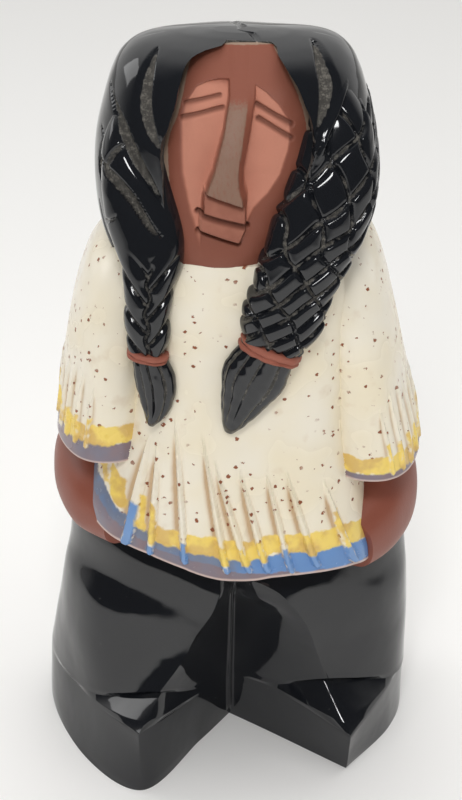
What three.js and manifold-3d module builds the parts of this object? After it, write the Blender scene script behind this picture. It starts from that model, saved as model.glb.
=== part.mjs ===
import * as THREE from 'three';
import { mergeVertices } from 'three/addons/utils/BufferGeometryUtils.js';
import Module from 'manifold-3d';

// A standing figure carved and fired as one piece of clay, about 290 mm tall: hair in two braids,
// a fringed shirt with bell sleeves, forearms in the pockets, wide trousers and pointed boots.
// Millimetres, +Z up, the front towards -Y, +X to the viewer's right.
// A turn is an angle round a form: 0 at the front, a quarter at +X, a half at the back.

const { clamp, lerp, smoothstep } = THREE.MathUtils;
const TAU = 2 * Math.PI;

// Driving dimensions
const COLLAR_HEIGHT = 216;
const SLEEVE_RIM = { left: 135.5, right: 128 };
const SHIRT_SQUARENESS = 3.4;
const SLEEVE_SQUARENESS = 2.3;
const FRINGE_STRIPS = 11;
const FRINGE_RELIEF = 0.9;
const FRINGE_TOP = [0.16, 0.4];
const BRAID_GROOVE = 1.5;
const TASSEL_FLUTES = 8;
const TASSEL_GROOVE = 1;
const TIE_OVERHANG = 1.2;
const FACE_TILT = 0.122;
const FACE_SQUARENESS = 2.8;
const HAIR_MIDDLE = -0.4;
const HAIR_SQUARENESS = 2.3;
const NOSE = {
  base: 241.6, slope: -0.34, top: 275, baseHalf: 6.2, topHalf: 3, baseRelief: 6.4, topRelief: 1,
};
const CHEEKS = { away: 10, half: 6.5, height: 256, halfHeight: 16, depth: 2.4 };
const MOUTH = { height: 231.4, half: 7.6, halfHeight: 6.4, relief: 2.2 };

// Levels of the legs, from the sole up. Heights: at the right toe, at the left toe and elsewhere.
// Then x and y of the groove between the legs, of the right ridge and of the left ridge, and how
// far the right side, the left side and the back stand out.
const LEG_LEVELS = [
  [0, 0, 0, -3, -12, 41.6, -46, -36, -59, 65, 74, 45],
  [1.6, 1.6, 1.6, -3, -13, 43, -48, -36.6, -60.6, 66.4, 76, 46.4],
  [18.5, 25.5, 22.5, -2.8, -16, 44, -51, -37.6, -58.5, 66.8, 75.2, 46],
  [33.5, 35.5, 25, -2.7, -16, 34, -33.5, -29, -45.5, 66.8, 75, 46],
  [35.5, 38, 27, -2.7, -16, 35, -36.5, -29.4, -48, 66.8, 74.8, 45.8],
  [49, 50, 48, -2.2, -17, 31, -39, -20.8, -45, 67.4, 71, 44],
  [64.5, 60, 65, -1.9, -22, 26.2, -41, -15.8, -43, 67, 68, 43],
  [79, 70, 76, -1.4, -28, 16.8, -42.5, -9.5, -42, 66, 65.5, 42],
  [86, 78, 88, -1.1, -31, 6, -42.3, -6.7, -41.5, 65, 64.5, 42],
  [118, 118, 118, -1, -30, 6, -40, -6, -24, 50, 52, 36],
];
// Where the boots come out of the legs, outer and inner corner, as x, y and how far the wall there
// leans out at the sole. A boot's upper edge and the cuff over it meet in these corners.
const BOOT_CORNERS = {
  right: { outer: [61.5, -21, 0], inner: [15, -26, 0] },
  left: { outer: [-57.6, -31, 7], inner: [-13.8, -28.5, 2] },
};
const CUFF_LEVELS = 5;
const LEVELS_TO_LEG = 3;
const BLUNT_TOE_LEVELS = 2;
// Between those corners and the sides: shares of the way from the groove to a ridge, the leg's outer
// front and its back corners.
const INNER_SHARE = { x: 0.42, y: 0.72 };
const OUTER_LEG = { x: 6, share: 0.75, offset: 7.5 };
const BACK_CORNER = { x: 0.8, y: 0.72 };

// Height of the hem round the front, by the sine of the turn, and at the back.
const HEM_LEVELS = [
  [-1, 112],
  [-0.74, 107],
  [-0.4, 102.8],
  [-0.19, 98.2],
  [-0.05, 93.6],
  [0, 92.4],
  [0.1, 93.9],
  [0.4, 94.5],
  [0.7, 93.3],
  [1, 88],
];
const HEM_BACK = 98;

// The shirt, from the hem up: height over the hem as a share, half width left and right, front, back.
const SHIRT_LEVELS = [
  [0, 58, 53.5, 52.2, 47],
  [0.06, 57, 53, 52.8, 47],
  [0.2, 49, 48.5, 49.5, 45],
  [0.42, 42, 43.5, 46.5, 43],
  [0.68, 42, 43, 45.5, 42],
  [0.86, 44, 43, 44.4, 41],
  [0.95, 38, 38, 43.4, 38],
  [1, 28, 28, 41.6, 34],
];

// The sleeves, as [height, outer x, inner x, front y, back y], heights from the rim up.
const SLEEVE_LEVELS = {
  left: [
    [SLEEVE_RIM.left, 67.4, 28, -39.5, 38],
    [147, 66.4, 28, -39, 38],
    [161, 64.6, 28, -38.4, 38],
    [172, 62.6, 27, -38, 38],
    [186, 59.8, 25, -36.5, 37],
    [197, 56.6, 22, -34, 35],
    [205, 53.2, 20, -30, 32],
    [211, 47.4, 20, -24, 27],
    [215, 38, 22, -16, 20],
  ],
  right: [
    [SLEEVE_RIM.right, 69, 30, -40, 38],
    [137, 68, 30, -39.6, 38],
    [152, 64.6, 29, -39, 38],
    [169, 60.8, 28, -38, 38],
    [184, 57.4, 26, -36.5, 37],
    [198, 54, 23, -34, 35],
    [208, 50, 20, -29, 32],
    [213, 45.6, 20, -23, 27],
    [217, 37, 22, -15, 20],
  ],
};

// The hair, as [height, half width, front, back].
const HAIR_LEVELS = [
  [188, 29, 24, 28],
  [197, 39, 33, 36],
  [206, 44.6, 38.5, 41],
  [219, 48.8, 42, 44.5],
  [234, 50.4, 43.8, 45],
  [249, 49.2, 42.8, 44],
  [262, 46.4, 39.8, 40],
  [273, 43, 34.4, 34],
  [280, 38.8, 27.5, 25.5],
  [284, 32, 19, 15],
  [286, 20, 9, 7],
  [286.6, 8, 4, 3],
];

// The face, as [height, half width, surface y]. It leans to +X as it rises.
const FACE_LEVELS = [
  [206, 12, -33],
  [210, 20, -38.6],
  [217, 27, -40.6],
  [228, 32, -39.8],
  [240, 34, -38],
  [252, 34, -35.4],
  [264, 32, -31],
  [273, 28, -25],
  [280, 25, -16.5],
  [284, 20, -11.5],
  [285.4, 15, -9.5],
];

// The opening in the hair, as [height, left edge, right edge].
const OPENING_LEVELS = [
  [207, -14, 6],
  [213, -18.6, 9.2],
  [226.6, -21.4, 13.6],
  [234, -23.1, 17.2],
  [244, -23.8, 21],
  [253.2, -24.2, 23.2],
  [257, -23.8, 23.9],
  [263.4, -20.8, 23.2],
  [269.3, -19, 21],
  [276, -17.4, 17.3],
  [282, -13.9, 13],
  [284, -9.8, 13],
  [285.2, -4, 11.8],
  [290, -3, 10],
];
const OPENING_SQUARENESS = 6;
const OPENING_REACH = 70;
// How far behind the face's surface the opening goes, by height, and its last y at the top.
const OPENING_GAP = [
  [207, 7],
  [268, 7],
  [281, 2],
  [290, 0],
];
const OPENING_TOP_BACK = -9.5;

// The braids, as [share of the length, x, y, z, half width, half depth], down to the tie.
const RIGHT_BRAID = [
  [0, 30, -10, 270, 8, 8],
  [0.18, 33.6, -21.5, 258, 12, 9.5],
  [0.36, 32.5, -30, 243, 15.5, 10],
  [0.52, 28, -36.5, 230, 15.8, 10],
  [0.66, 22.5, -41.5, 218, 14.8, 9.5],
  [0.78, 18.5, -44.5, 208, 14, 9],
  [0.9, 15, -45.8, 197, 14.2, 8.5],
  [1, 11.6, -46, 186.5, 10.5, 7],
];
const LEFT_BRAID = [
  [0, -31, -10, 266, 8, 8],
  [0.2, -35, -22.5, 252, 11.5, 9.5],
  [0.4, -33, -31.5, 235, 13, 10],
  [0.56, -30, -37.5, 222, 12, 9.5],
  [0.7, -30.4, -42, 210, 8.6, 8],
  [0.84, -31.4, -43.6, 199, 7.6, 7.4],
  [0.94, -31.2, -43.8, 191, 7.4, 7],
  [1, -31.6, -43.8, 183.5, 6, 6],
];
const RIGHT_TASSEL = [
  [0, 11.6, -46.4, 188, 8.6, 6],
  [0.12, 9.8, -47, 184, 10.2, 6.8],
  [0.4, 5.8, -47.2, 176, 11.6, 7.2],
  [0.68, 2.2, -47, 167, 8.6, 6.6],
  [0.9, -1.4, -46.6, 158, 4.6, 4.8],
  [1, -2.8, -46.2, 153.6, 2, 2.6],
];
const LEFT_TASSEL = [
  [0, -31.4, -43.6, 185, 5, 5],
  [0.14, -30.6, -44, 180.5, 6.4, 5.8],
  [0.45, -28.8, -44.2, 172, 7.4, 6],
  [0.75, -28.8, -44, 163, 5.6, 5.4],
  [0.93, -30, -43.6, 157.6, 3.2, 4],
  [1, -30.6, -43.4, 155, 1.6, 2.4],
];

// The forearms, elbow to wrist, as [share of the length, x, y, z, half thickness, half height].
const LEFT_FOREARM = [
  [0, -50, 26, 114, 7, 8],
  [0.15, -54, 18, 112, 14, 15],
  [0.5, -55.6, -2, 110.5, 14.4, 15.6],
  [0.8, -51.5, -20, 109, 13, 14.4],
  [1, -42, -34, 107, 9, 10],
];
const RIGHT_FOREARM = [
  [0, 50, 26, 106, 7, 9],
  [0.15, 53, 18, 104, 14, 17],
  [0.5, 55, -2, 102, 14.6, 18.6],
  [0.8, 50.6, -18, 99, 13.6, 17.6],
  [1, 43, -32, 96, 9, 12],
];

// Gouges cut in the hair, each by its start, middle and end on the front as x and height, with its
// width and depth.
const GOUGES = [
  { points: [[-19, 283], [-31, 268], [-26, 249]], width: 4.6, depth: 2.4 },
  { points: [[-40, 270], [-43, 252], [-27, 233]], width: 4, depth: 2.2 },
  { points: [[25, 283], [33, 270], [30, 255]], width: 4.4, depth: 2.4 },
  { points: [[44, 268], [47, 254], [42, 236]], width: 4, depth: 2.2 },
  { points: [[-48, 256], [-49, 240], [-40, 218]], width: 4, depth: 2.2 },
];
const PARTING = {
  points: [[7, -12, 284.6], [5.5, -5.6, 285.9], [0.3, 7, 286.9], [-2, 20, 284], [-3, 33, 274]],
  width: 2.4,
  depth: 1.2,
};

const wasm = await Module();
wasm.setup();

// The cubic from one value to another with a given slope at each end.
function hermite(t, from, to, fromSlope, toSlope) {
  return (2 * t ** 3 - 3 * t ** 2 + 1) * from + (t ** 3 - 2 * t ** 2 + t) * fromSlope
    + (3 * t ** 2 - 2 * t ** 3) * to + (t ** 3 - t ** 2) * toSlope;
}

// A smooth curve through stations, each a place and then its values. It gives the values at a place.
function track(stations) {
  const slope = (i, k) => {
    const a = stations[Math.max(i - 1, 0)];
    const b = stations[Math.min(i + 1, stations.length - 1)];
    return (b[k] - a[k]) / (b[0] - a[0]);
  };
  return (place) => {
    const at = clamp(place, stations[0][0], stations.at(-1)[0]);
    let i = 0;
    while (i < stations.length - 2 && at > stations[i + 1][0]) i += 1;
    const [a, b] = [stations[i], stations[i + 1]];
    const span = b[0] - a[0];
    const t = (at - a[0]) / span;
    return a.slice(1).map((from, n) => hermite(t, from, b[n + 1], slope(i, n + 1) * span,
      slope(i + 1, n + 1) * span));
  };
}

// A closed solid pulled out of a sphere. Its rings are given by shape(turn, share), the share
// running from 0 at the lowest ring to 1 at the highest, and each end is closed by its middle.
function pulledSolid(around, rings, shape) {
  const geometry = new THREE.SphereGeometry(1, around, rings + 1);
  const position = geometry.attributes.position;
  const ring = (k) => Array.from({ length: around }, (_, i) => {
    const turn = TAU * i / around - TAU / 4;
    return shape(turn < 0 ? turn + TAU : turn, k / (rings - 1));
  });
  const rows = Array.from({ length: rings }, (_, k) => ring(k));
  const middle = (row) => row[0].map((_, axis) => row.reduce((sum, p) => sum + p[axis], 0) / around);
  for (let down = 0; down <= rings + 1; down += 1) {
    for (let i = 0; i <= around; i += 1) {
      let point;
      if (down === 0) point = middle(rows[rings - 1]);
      else if (down === rings + 1) point = middle(rows[0]);
      else point = rows[rings - down][i % around];
      position.setXYZ(down * (around + 1) + i, ...point);
    }
  }
  geometry.deleteAttribute('normal');
  geometry.deleteAttribute('uv');
  const merged = mergeVertices(geometry, 1e-4);
  return new wasm.Manifold(new wasm.Mesh({
    numProp: 3,
    vertProperties: new Float32Array(merged.attributes.position.array),
    triVerts: new Uint32Array(merged.index.array),
  }));
}

const power = (value, exponent) => Math.sign(value) * Math.abs(value) ** exponent;

// A level cut with rounded corners: how far it reaches left, right, to the front and to the back.
function levelCut(turn, left, right, front, back, squareness) {
  const across = power(Math.sin(turn), 2 / squareness);
  const ahead = power(Math.cos(turn), 2 / squareness);
  return [across * (across < 0 ? left : right), -ahead * (ahead < 0 ? back : front)];
}

// Twelve points round one level of the legs: the groove, the ridges, the sides and the back.
function legKeys(level, row) {
  const [toeRight, toeLeft, rest, gx, gy, rx, ry, lx, ly, right, left, back] = level;
  const lean = clamp(1 - rest / 24, 0, 1);
  const above = clamp((row - CUFF_LEVELS + 1) / LEVELS_TO_LEG, 0, 1);
  const corner = ([x, y, out], freeX, freeY) => [
    lerp(x + Math.sign(x) * out * lean * 0.5, freeX, above), lerp(y - out * lean, freeY, above), rest,
  ];
  const towards = (x, y) => [lerp(gx, x, INNER_SHARE.x), lerp(gy, y, INNER_SHARE.y)];
  const outerY = (y) => OUTER_LEG.share * y + OUTER_LEG.offset;
  const { right: rightBoot, left: leftBoot } = BOOT_CORNERS;
  return [
    [gx, gy, rest],
    corner(rightBoot.inner, ...towards(rx, ry)),
    [rx, ry, toeRight],
    corner(rightBoot.outer, (rx + right) / 2 + OUTER_LEG.x, outerY(ry)),
    [right, 3, rest],
    [right * BACK_CORNER.x, back * BACK_CORNER.y, rest],
    [(right - left) / 2, back, rest],
    [-left * BACK_CORNER.x, back * BACK_CORNER.y, rest],
    [-left, 4, rest],
    corner(leftBoot.outer, (lx - left) / 2 - OUTER_LEG.x, outerY(ly)),
    [lx, ly, toeLeft],
    corner(leftBoot.inner, ...towards(lx, ly)),
  ];
}

// The trousers and boots. The groove and the two ridges stay sharp, the rest is rounded.
function legs() {
  const [groove, rightRidge, leftRidge] = [0, 2, 10];
  const perKey = 4;
  const around = 12 * perKey;
  const keys = LEG_LEVELS.map(legKeys);
  const rings = LEG_LEVELS.length;
  return pulledSolid(around, rings, (turn, share) => {
    const row = Math.round(share * (rings - 1));
    const column = Math.round(turn / TAU * around) % around;
    const key = Math.floor(column / perKey);
    const t = (column % perKey) / perKey;
    const isSharp = (n) => n === groove || n === rightRidge || (n === leftRidge && row >= BLUNT_TOE_LEVELS);
    const at = (n) => keys[row][(n + 12) % 12];
    const [a, b] = [at(key), at(key + 1)];
    const leave = isSharp(key) ? [a, b, 1] : [at(key - 1), b, 0.5];
    const arrive = isSharp((key + 1) % 12) ? [a, b, 1] : [a, at(key + 2), 0.5];
    return a.map((from, k) => hermite(t, from, b[k], (leave[1][k] - leave[0][k]) * leave[2],
      (arrive[1][k] - arrive[0][k]) * arrive[2]));
  });
}

// Height of the shirt's hem round the figure. It hangs lower to the viewer's right.
const hemAt = track(HEM_LEVELS);

function hemHeight(turn) {
  const [front] = hemAt(Math.sin(turn));
  return lerp(HEM_BACK, front, smoothstep(Math.cos(turn), -0.4, 0.25));
}

// The shirt's body, with strips cut in a fringe that fans out towards the hem.
function shirt() {
  const levels = track(SHIRT_LEVELS);
  const strips = FRINGE_STRIPS * 2;
  return pulledSolid(4 * strips, 9, (turn, share) => {
    const rise = share ** 1.5;
    const [left, right, front, back] = levels(rise);
    const fade = (1 - smoothstep(rise, ...FRINGE_TOP)) * smoothstep(Math.abs(Math.cos(turn)), 0.15, 0.4);
    const strip = FRINGE_RELIEF * fade * Math.cos(strips * turn);
    const [x, y] = levelCut(turn, left + strip, right + strip, front + strip, back + strip, SHIRT_SQUARENESS);
    return [x, y, lerp(hemHeight(turn), COLLAR_HEIGHT, rise)];
  });
}

// One bell sleeve. The side is -1 on the viewer's left.
function sleeve(levels, side) {
  const at = track(levels);
  return pulledSolid(20, 9, (turn, share) => {
    const height = lerp(levels[0][0], levels.at(-1)[0], share);
    const [outer, inner, front, back] = at(height);
    const middle = (outer + inner) / 2;
    const reach = (outer - inner) / 2;
    const depth = (back - front) / 2;
    const [x, y] = levelCut(turn, reach, reach, depth, depth, SLEEVE_SQUARENESS);
    return [side * middle + x, y + (front + back) / 2, height];
  });
}

const smooth = () => 0;
const FRONT = new THREE.Vector3(0, -1, 0);
const UP = new THREE.Vector3(0, 0, 1);

// A solid drawn along a path of stations: x, y, z, half width and half depth, with the width
// square to the path and to the front. The relief adds to its size at each turn and share.
function drawnSolid(stations, around, rings, squareness, relief = smooth, front = FRONT) {
  const at = track(stations);
  return pulledSolid(around, rings, (turn, share) => {
    const along = 1 - share;
    const [x, y, z, halfWidth, halfDepth] = at(along);
    const before = at(Math.max(along - 0.02, 0));
    const after = at(Math.min(along + 0.02, 1));
    const up = new THREE.Vector3(before[0] - after[0], before[1] - after[1], before[2] - after[2]);
    const wide = new THREE.Vector3().crossVectors(up, front).normalize();
    const deep = new THREE.Vector3().crossVectors(up, wide).normalize();
    const extra = relief(turn, along);
    const [across, ahead] = levelCut(turn, halfWidth + extra, halfWidth + extra,
      halfDepth + extra, halfDepth + extra, squareness);
    return new THREE.Vector3(x, y, z).addScaledVector(wide, across).addScaledVector(deep, ahead).toArray();
  });
}

// The hair, and the opening that shows the face.
const hairAt = track(HAIR_LEVELS);

function hair() {
  const [low, high] = [HAIR_LEVELS[0][0], HAIR_LEVELS.at(-1)[0]];
  return pulledSolid(40, 18, (turn, share) => {
    const height = lerp(low, high, Math.sin(share * TAU / 4) ** 0.9);
    const [width, front, back] = hairAt(height);
    const [x, y] = levelCut(turn, width, width, front, back, HAIR_SQUARENESS);
    return [x + HAIR_MIDDLE, y, height];
  });
}

// Where the face's surface lies at a height, and how it falls away to the sides.
const faceAt = track(FACE_LEVELS);
const faceMiddle = (height) => -2.4 + (height - 245) * FACE_TILT;

// The carved planes of the face: a wedge for the nose, hollow cheeks and a block for the mouth.
function faceRelief(x, height) {
  const across = x - faceMiddle(height) + 2.6 - 0.05 * (height - 245);
  const rise = smoothstep(height, NOSE.base, NOSE.top);
  const half = lerp(NOSE.baseHalf, NOSE.topHalf, rise);
  const over = smoothstep(height - NOSE.base - NOSE.slope * across, -1, 1);
  const side = 1 - smoothstep(Math.abs(across), half * 0.75, half * 1.25);
  const nose = lerp(NOSE.baseRelief, NOSE.topRelief, rise) * over * side;
  const cheek = CHEEKS.depth * Math.exp(-(((Math.abs(across) - CHEEKS.away) / CHEEKS.half) ** 2)
    - ((height - CHEEKS.height) / CHEEKS.halfHeight) ** 2);
  const mouth = MOUTH.relief * Math.exp(-((across / MOUTH.half) ** 4)
    - ((height - MOUTH.height) / MOUTH.halfHeight) ** 4);
  return nose + mouth * (1 - over) - cheek * (1 - side);
}

function face() {
  const [low, high] = [FACE_LEVELS[0][0], FACE_LEVELS.at(-1)[0]];
  return pulledSolid(34, 22, (turn, share) => {
    const height = lerp(low, high, share);
    const [width, front] = faceAt(height);
    const bent = turn - 0.7 * Math.sin(turn) * (Math.cos(turn) > -0.2 ? 1 : 0.6);
    const [x, y] = levelCut(bent, width, width, -front, 4, FACE_SQUARENESS);
    const ahead = Math.cos(bent) > 0 ? faceRelief(x + faceMiddle(height), height) : 0;
    return [x + faceMiddle(height), y - ahead, height];
  });
}

// The space in front of the face, cut out of the hair as far as just behind the face's surface.
function faceOpening() {
  const edges = track(OPENING_LEVELS);
  const gapAt = track(OPENING_GAP);
  const [low, high] = [OPENING_LEVELS[0][0], OPENING_LEVELS.at(-1)[0]];
  return pulledSolid(28, 16, (turn, share) => {
    const height = lerp(low, high, share);
    const [left, right] = edges(height);
    const [width, front] = faceAt(height);
    const [gap] = gapAt(height);
    const middle = (left + right) / 2;
    const half = (right - left) / 2;
    const [x, y] = levelCut(turn, half, half, 1, 1, OPENING_SQUARENESS);
    const fall = 1 - Math.min(Math.abs(middle + x - faceMiddle(height)) / width, 0.98) ** FACE_SQUARENESS;
    const back = Math.min(front * fall ** (1 / FACE_SQUARENESS) + gap, OPENING_TOP_BACK);
    return [middle + x, y < 0 ? -OPENING_REACH : back, height];
  });
}

// The point on the front of the hair at an x and a height.
function onHair([x, height]) {
  const [width, front] = hairAt(height);
  const share = Math.min(Math.abs(x - HAIR_MIDDLE) / width, 1);
  return [x, -front * (1 - share ** HAIR_SQUARENESS) ** (1 / HAIR_SQUARENESS), height];
}

// One gouge: a spindle laid along a curve on the surface, thin at both ends.
function gouge(points, width, depth) {
  const path = new THREE.CatmullRomCurve3(points.map((p) => new THREE.Vector3(...p)));
  const stations = Array.from({ length: 7 }, (_, i) => {
    const share = i / 6;
    const swell = Math.max(Math.sin(share * Math.PI) ** 0.7, 0.08);
    const { x, y, z } = path.getPoint(share);
    return [share, x, y, z, width / 2 * swell, depth * swell];
  });
  return drawnSolid(stations, 8, 7, 2);
}

// The diamonds cut in a braid by two sets of grooves that cross.
function diamonds(around, rows) {
  return (turn, along) => {
    const across = around * turn / TAU;
    const down = along * rows;
    const cut = Math.min(Math.abs(Math.sin((across + down) * Math.PI)),
      Math.abs(Math.sin((across - down) * Math.PI)));
    return BRAID_GROOVE * (cut ** 0.7 - 1);
  };
}

const flutes = (turn) => TASSEL_GROOVE * (Math.abs(Math.sin(TASSEL_FLUTES * turn / 2)) ** 0.6 - 1);

// The tie round the end of a braid: a low band with a rounded edge.
function tie(stations, height) {
  const [, x, y, z, halfWidth, halfDepth] = stations.at(-1);
  const [, ux, uy, uz] = stations.at(-2);
  const up = new THREE.Vector3(ux - x, uy - y, uz - z).setLength(height / 2);
  const band = [-1, -0.6, 0.6, 1].map((place, i) => {
    const grow = Math.abs(place) === 1 ? 0.2 : TIE_OVERHANG;
    return [i / 3, x - up.x * place, y - up.y * place, z - up.z * place, halfWidth + grow, halfDepth + grow];
  });
  return drawnSolid(band, 20, 4, 2.4);
}

const head = hair().subtract(faceOpening()).add(face());
const gouges = GOUGES.map(({ points, width, depth }) => gouge(points.map(onHair), width, depth));
gouges.push(gouge(PARTING.points, PARTING.width, PARTING.depth));
const carvedHead = gouges.reduce((solid, cut) => solid.subtract(cut), head);
const forms = [
  legs(),
  shirt(),
  sleeve(SLEEVE_LEVELS.left, -1),
  sleeve(SLEEVE_LEVELS.right, 1),
  drawnSolid(LEFT_FOREARM, 14, 8, 2.2, smooth, UP),
  drawnSolid(RIGHT_FOREARM, 14, 8, 2.2, smooth, UP),
  drawnSolid(RIGHT_BRAID, 24, 25, 2.3, diamonds(8, 8)),
  drawnSolid(LEFT_BRAID, 18, 22, 2.2, diamonds(6, 7)),
  drawnSolid(RIGHT_TASSEL, 24, 6, 2, flutes),
  drawnSolid(LEFT_TASSEL, 24, 6, 2, flutes),
  tie(RIGHT_BRAID, 6),
  tie(LEFT_BRAID, 5.4),
];
const solid = forms.reduce((whole, form) => whole.add(form), carvedHead);

const { vertProperties, triVerts } = solid.getMesh();
const geometry = new THREE.BufferGeometry();
geometry.setAttribute('position', new THREE.BufferAttribute(new Float32Array(vertProperties), 3));
geometry.setIndex(new THREE.BufferAttribute(new Uint32Array(triVerts), 1));
geometry.computeBoundingBox();
const { min, max } = geometry.boundingBox;
geometry.translate(-(min.x + max.x) / 2, -(min.y + max.y) / 2, -min.z);
geometry.computeVertexNormals();

const figure = new THREE.Mesh(geometry, new THREE.MeshStandardMaterial({
  color: 0x8f5a46,
  roughness: 0.35,
  metalness: 0,
}));
figure.name = 'figure';

const part = new THREE.Group();
part.add(figure);
export default part;
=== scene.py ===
"""Looks of the terracotta figure: carved clay, part bare and part glazed, about 290 mm tall.

The clay is one solid. Its looks are made as closed shells, each with one finish, and the shells
overlap in the same way as the forms that were fused to make the solid. Every form starts as a sheet
that is rolled up, closed at its ends and pulled into shape, and its carving is then pressed into
the surface. Forms are drawn in millimetres round the figure's own middle, with the front towards
-Y, and are placed in the part's frame, in metres, when they are made.
"""

import logging
import math
from collections.abc import Callable
from dataclasses import dataclass, field
from enum import Enum

import bpy
import numpy as np
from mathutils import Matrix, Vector


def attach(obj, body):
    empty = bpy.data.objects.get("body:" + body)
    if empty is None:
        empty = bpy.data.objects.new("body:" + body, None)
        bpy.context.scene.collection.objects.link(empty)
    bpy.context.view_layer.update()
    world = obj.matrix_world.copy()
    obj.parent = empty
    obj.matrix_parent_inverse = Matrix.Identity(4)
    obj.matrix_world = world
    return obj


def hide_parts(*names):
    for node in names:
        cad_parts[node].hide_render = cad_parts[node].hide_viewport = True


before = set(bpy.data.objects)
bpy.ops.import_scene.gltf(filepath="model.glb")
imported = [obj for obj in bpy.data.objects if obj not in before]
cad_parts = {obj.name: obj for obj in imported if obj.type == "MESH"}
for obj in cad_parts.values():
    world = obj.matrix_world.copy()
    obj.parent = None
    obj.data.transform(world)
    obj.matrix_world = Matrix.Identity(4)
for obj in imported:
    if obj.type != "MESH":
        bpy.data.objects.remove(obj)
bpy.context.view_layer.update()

Array = np.ndarray
Socket = bpy.types.NodeSocket
Colour = tuple[float, float, float]
TAU = 2 * math.pi
MILLIMETRE = 0.001
TO_PART = np.array((3.0995, 6.3071, 0.0))
LOG = logging.getLogger("figure")


def smoothstep(value: Array, low: float, high: float) -> Array:
    """A soft step from 0 at low to 1 at high."""
    t = np.clip((value - low) / (high - low), 0.0, 1.0)
    return t * t * (3 - 2 * t)


def swell(value: Array, middle: float, spread: float, sharp: float = 2.0) -> Array:
    """A soft hump of height 1 at middle, flatter on top and steeper at its sides as sharp grows."""
    return np.exp(-(np.abs((value - middle) / spread) ** sharp))


def power(value: Array, exponent: float) -> Array:
    """The value's size to an exponent, with the value's own sign."""
    return np.sign(value) * np.abs(value) ** exponent


def hermite(t: Array, start: Array, end: Array, leave: Array, arrive: Array) -> Array:
    """The cubic from start to end with these slopes at its two ends."""
    t2, t3 = t * t, t * t * t
    return (2 * t3 - 3 * t2 + 1) * start + (t3 - 2 * t2 + t) * leave + (3 * t2 - 2 * t3) * end + (t3 - t2) * arrive


def level_cut(turn: Array, reach: tuple[Array, Array, Array, Array], squareness: float) -> tuple[Array, Array]:
    """A level cut through a form, with rounded corners.

    Args:
        turn: The angle round the form, 0 at the front and a quarter at +X.
        reach: How far it goes to the left, the right, the front and the back.
        squareness: 2 for an oval, more for squarer.

    Returns:
        x and y for each turn.
    """
    left, right, front, back = reach
    across = power(np.sin(turn), 2 / squareness)
    ahead = power(np.cos(turn), 2 / squareness)
    return across * np.where(across < 0, left, right), -ahead * np.where(ahead < 0, back, front)


def ripple(points: Array, size: float, seed: int) -> Array:
    """Soft unevenness from -1 to 1, as hands leave it, with waves about this size in millimetres."""
    draw = np.random.default_rng(seed)
    total = np.zeros(points.shape[:-1])
    waves = 7
    for _ in range(waves):
        way = draw.normal(size=3)
        way *= TAU / size * draw.uniform(0.6, 1.5) / np.linalg.norm(way)
        total += np.sin(points @ way + draw.uniform(0, TAU))
    return total / waves * 1.8


def unit(vectors: Array) -> Array:
    """The same vectors at length 1."""
    return vectors / np.maximum(np.linalg.norm(vectors, axis=-1, keepdims=True), 1e-9)


def light(red: float, green: float, blue: float) -> Colour:
    """A colour given in the everyday 0 to 255 way, as linear light."""
    return tuple(((c / 255 + 0.055) / 1.055) ** 2.4 if c > 10 else c / 255 / 12.92 for c in (red, green, blue))


class Track:
    """A smooth curve through stations, each a place and then its values."""

    def __init__(self, stations: list[tuple[float, ...]]) -> None:
        """Keeps the stations and the slope at each."""
        table = np.array(stations, float)
        self.places, self.values = table[:, 0], table[:, 1:]
        before = np.maximum(np.arange(len(table)) - 1, 0)
        after = np.minimum(np.arange(len(table)) + 1, len(table) - 1)
        self.slopes = (self.values[after] - self.values[before]) / (self.places[after] - self.places[before])[:, None]

    def __call__(self, place: Array) -> list[Array]:
        """The values at each place, one array for each value."""
        at = np.clip(place, self.places[0], self.places[-1])
        i = np.clip(np.searchsorted(self.places, at) - 1, 0, len(self.places) - 2)
        span = self.places[i + 1] - self.places[i]
        t = (at - self.places[i]) / span
        return [
            hermite(t, v[i], v[i + 1], s[i] * span, s[i + 1] * span) for v, s in zip(self.values.T, self.slopes.T)
        ]


def crowded(count: int, density: Callable[[Array], Array], low: float, high: float) -> Array:
    """Places from low to high, closer together where the density is higher; high itself is left out."""
    fine = np.linspace(low, high, 4001)
    total = np.concatenate(([0.0], np.cumsum(density((fine[1:] + fine[:-1]) / 2))))
    return np.interp(np.arange(count) / count * total[-1], total, fine)


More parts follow.
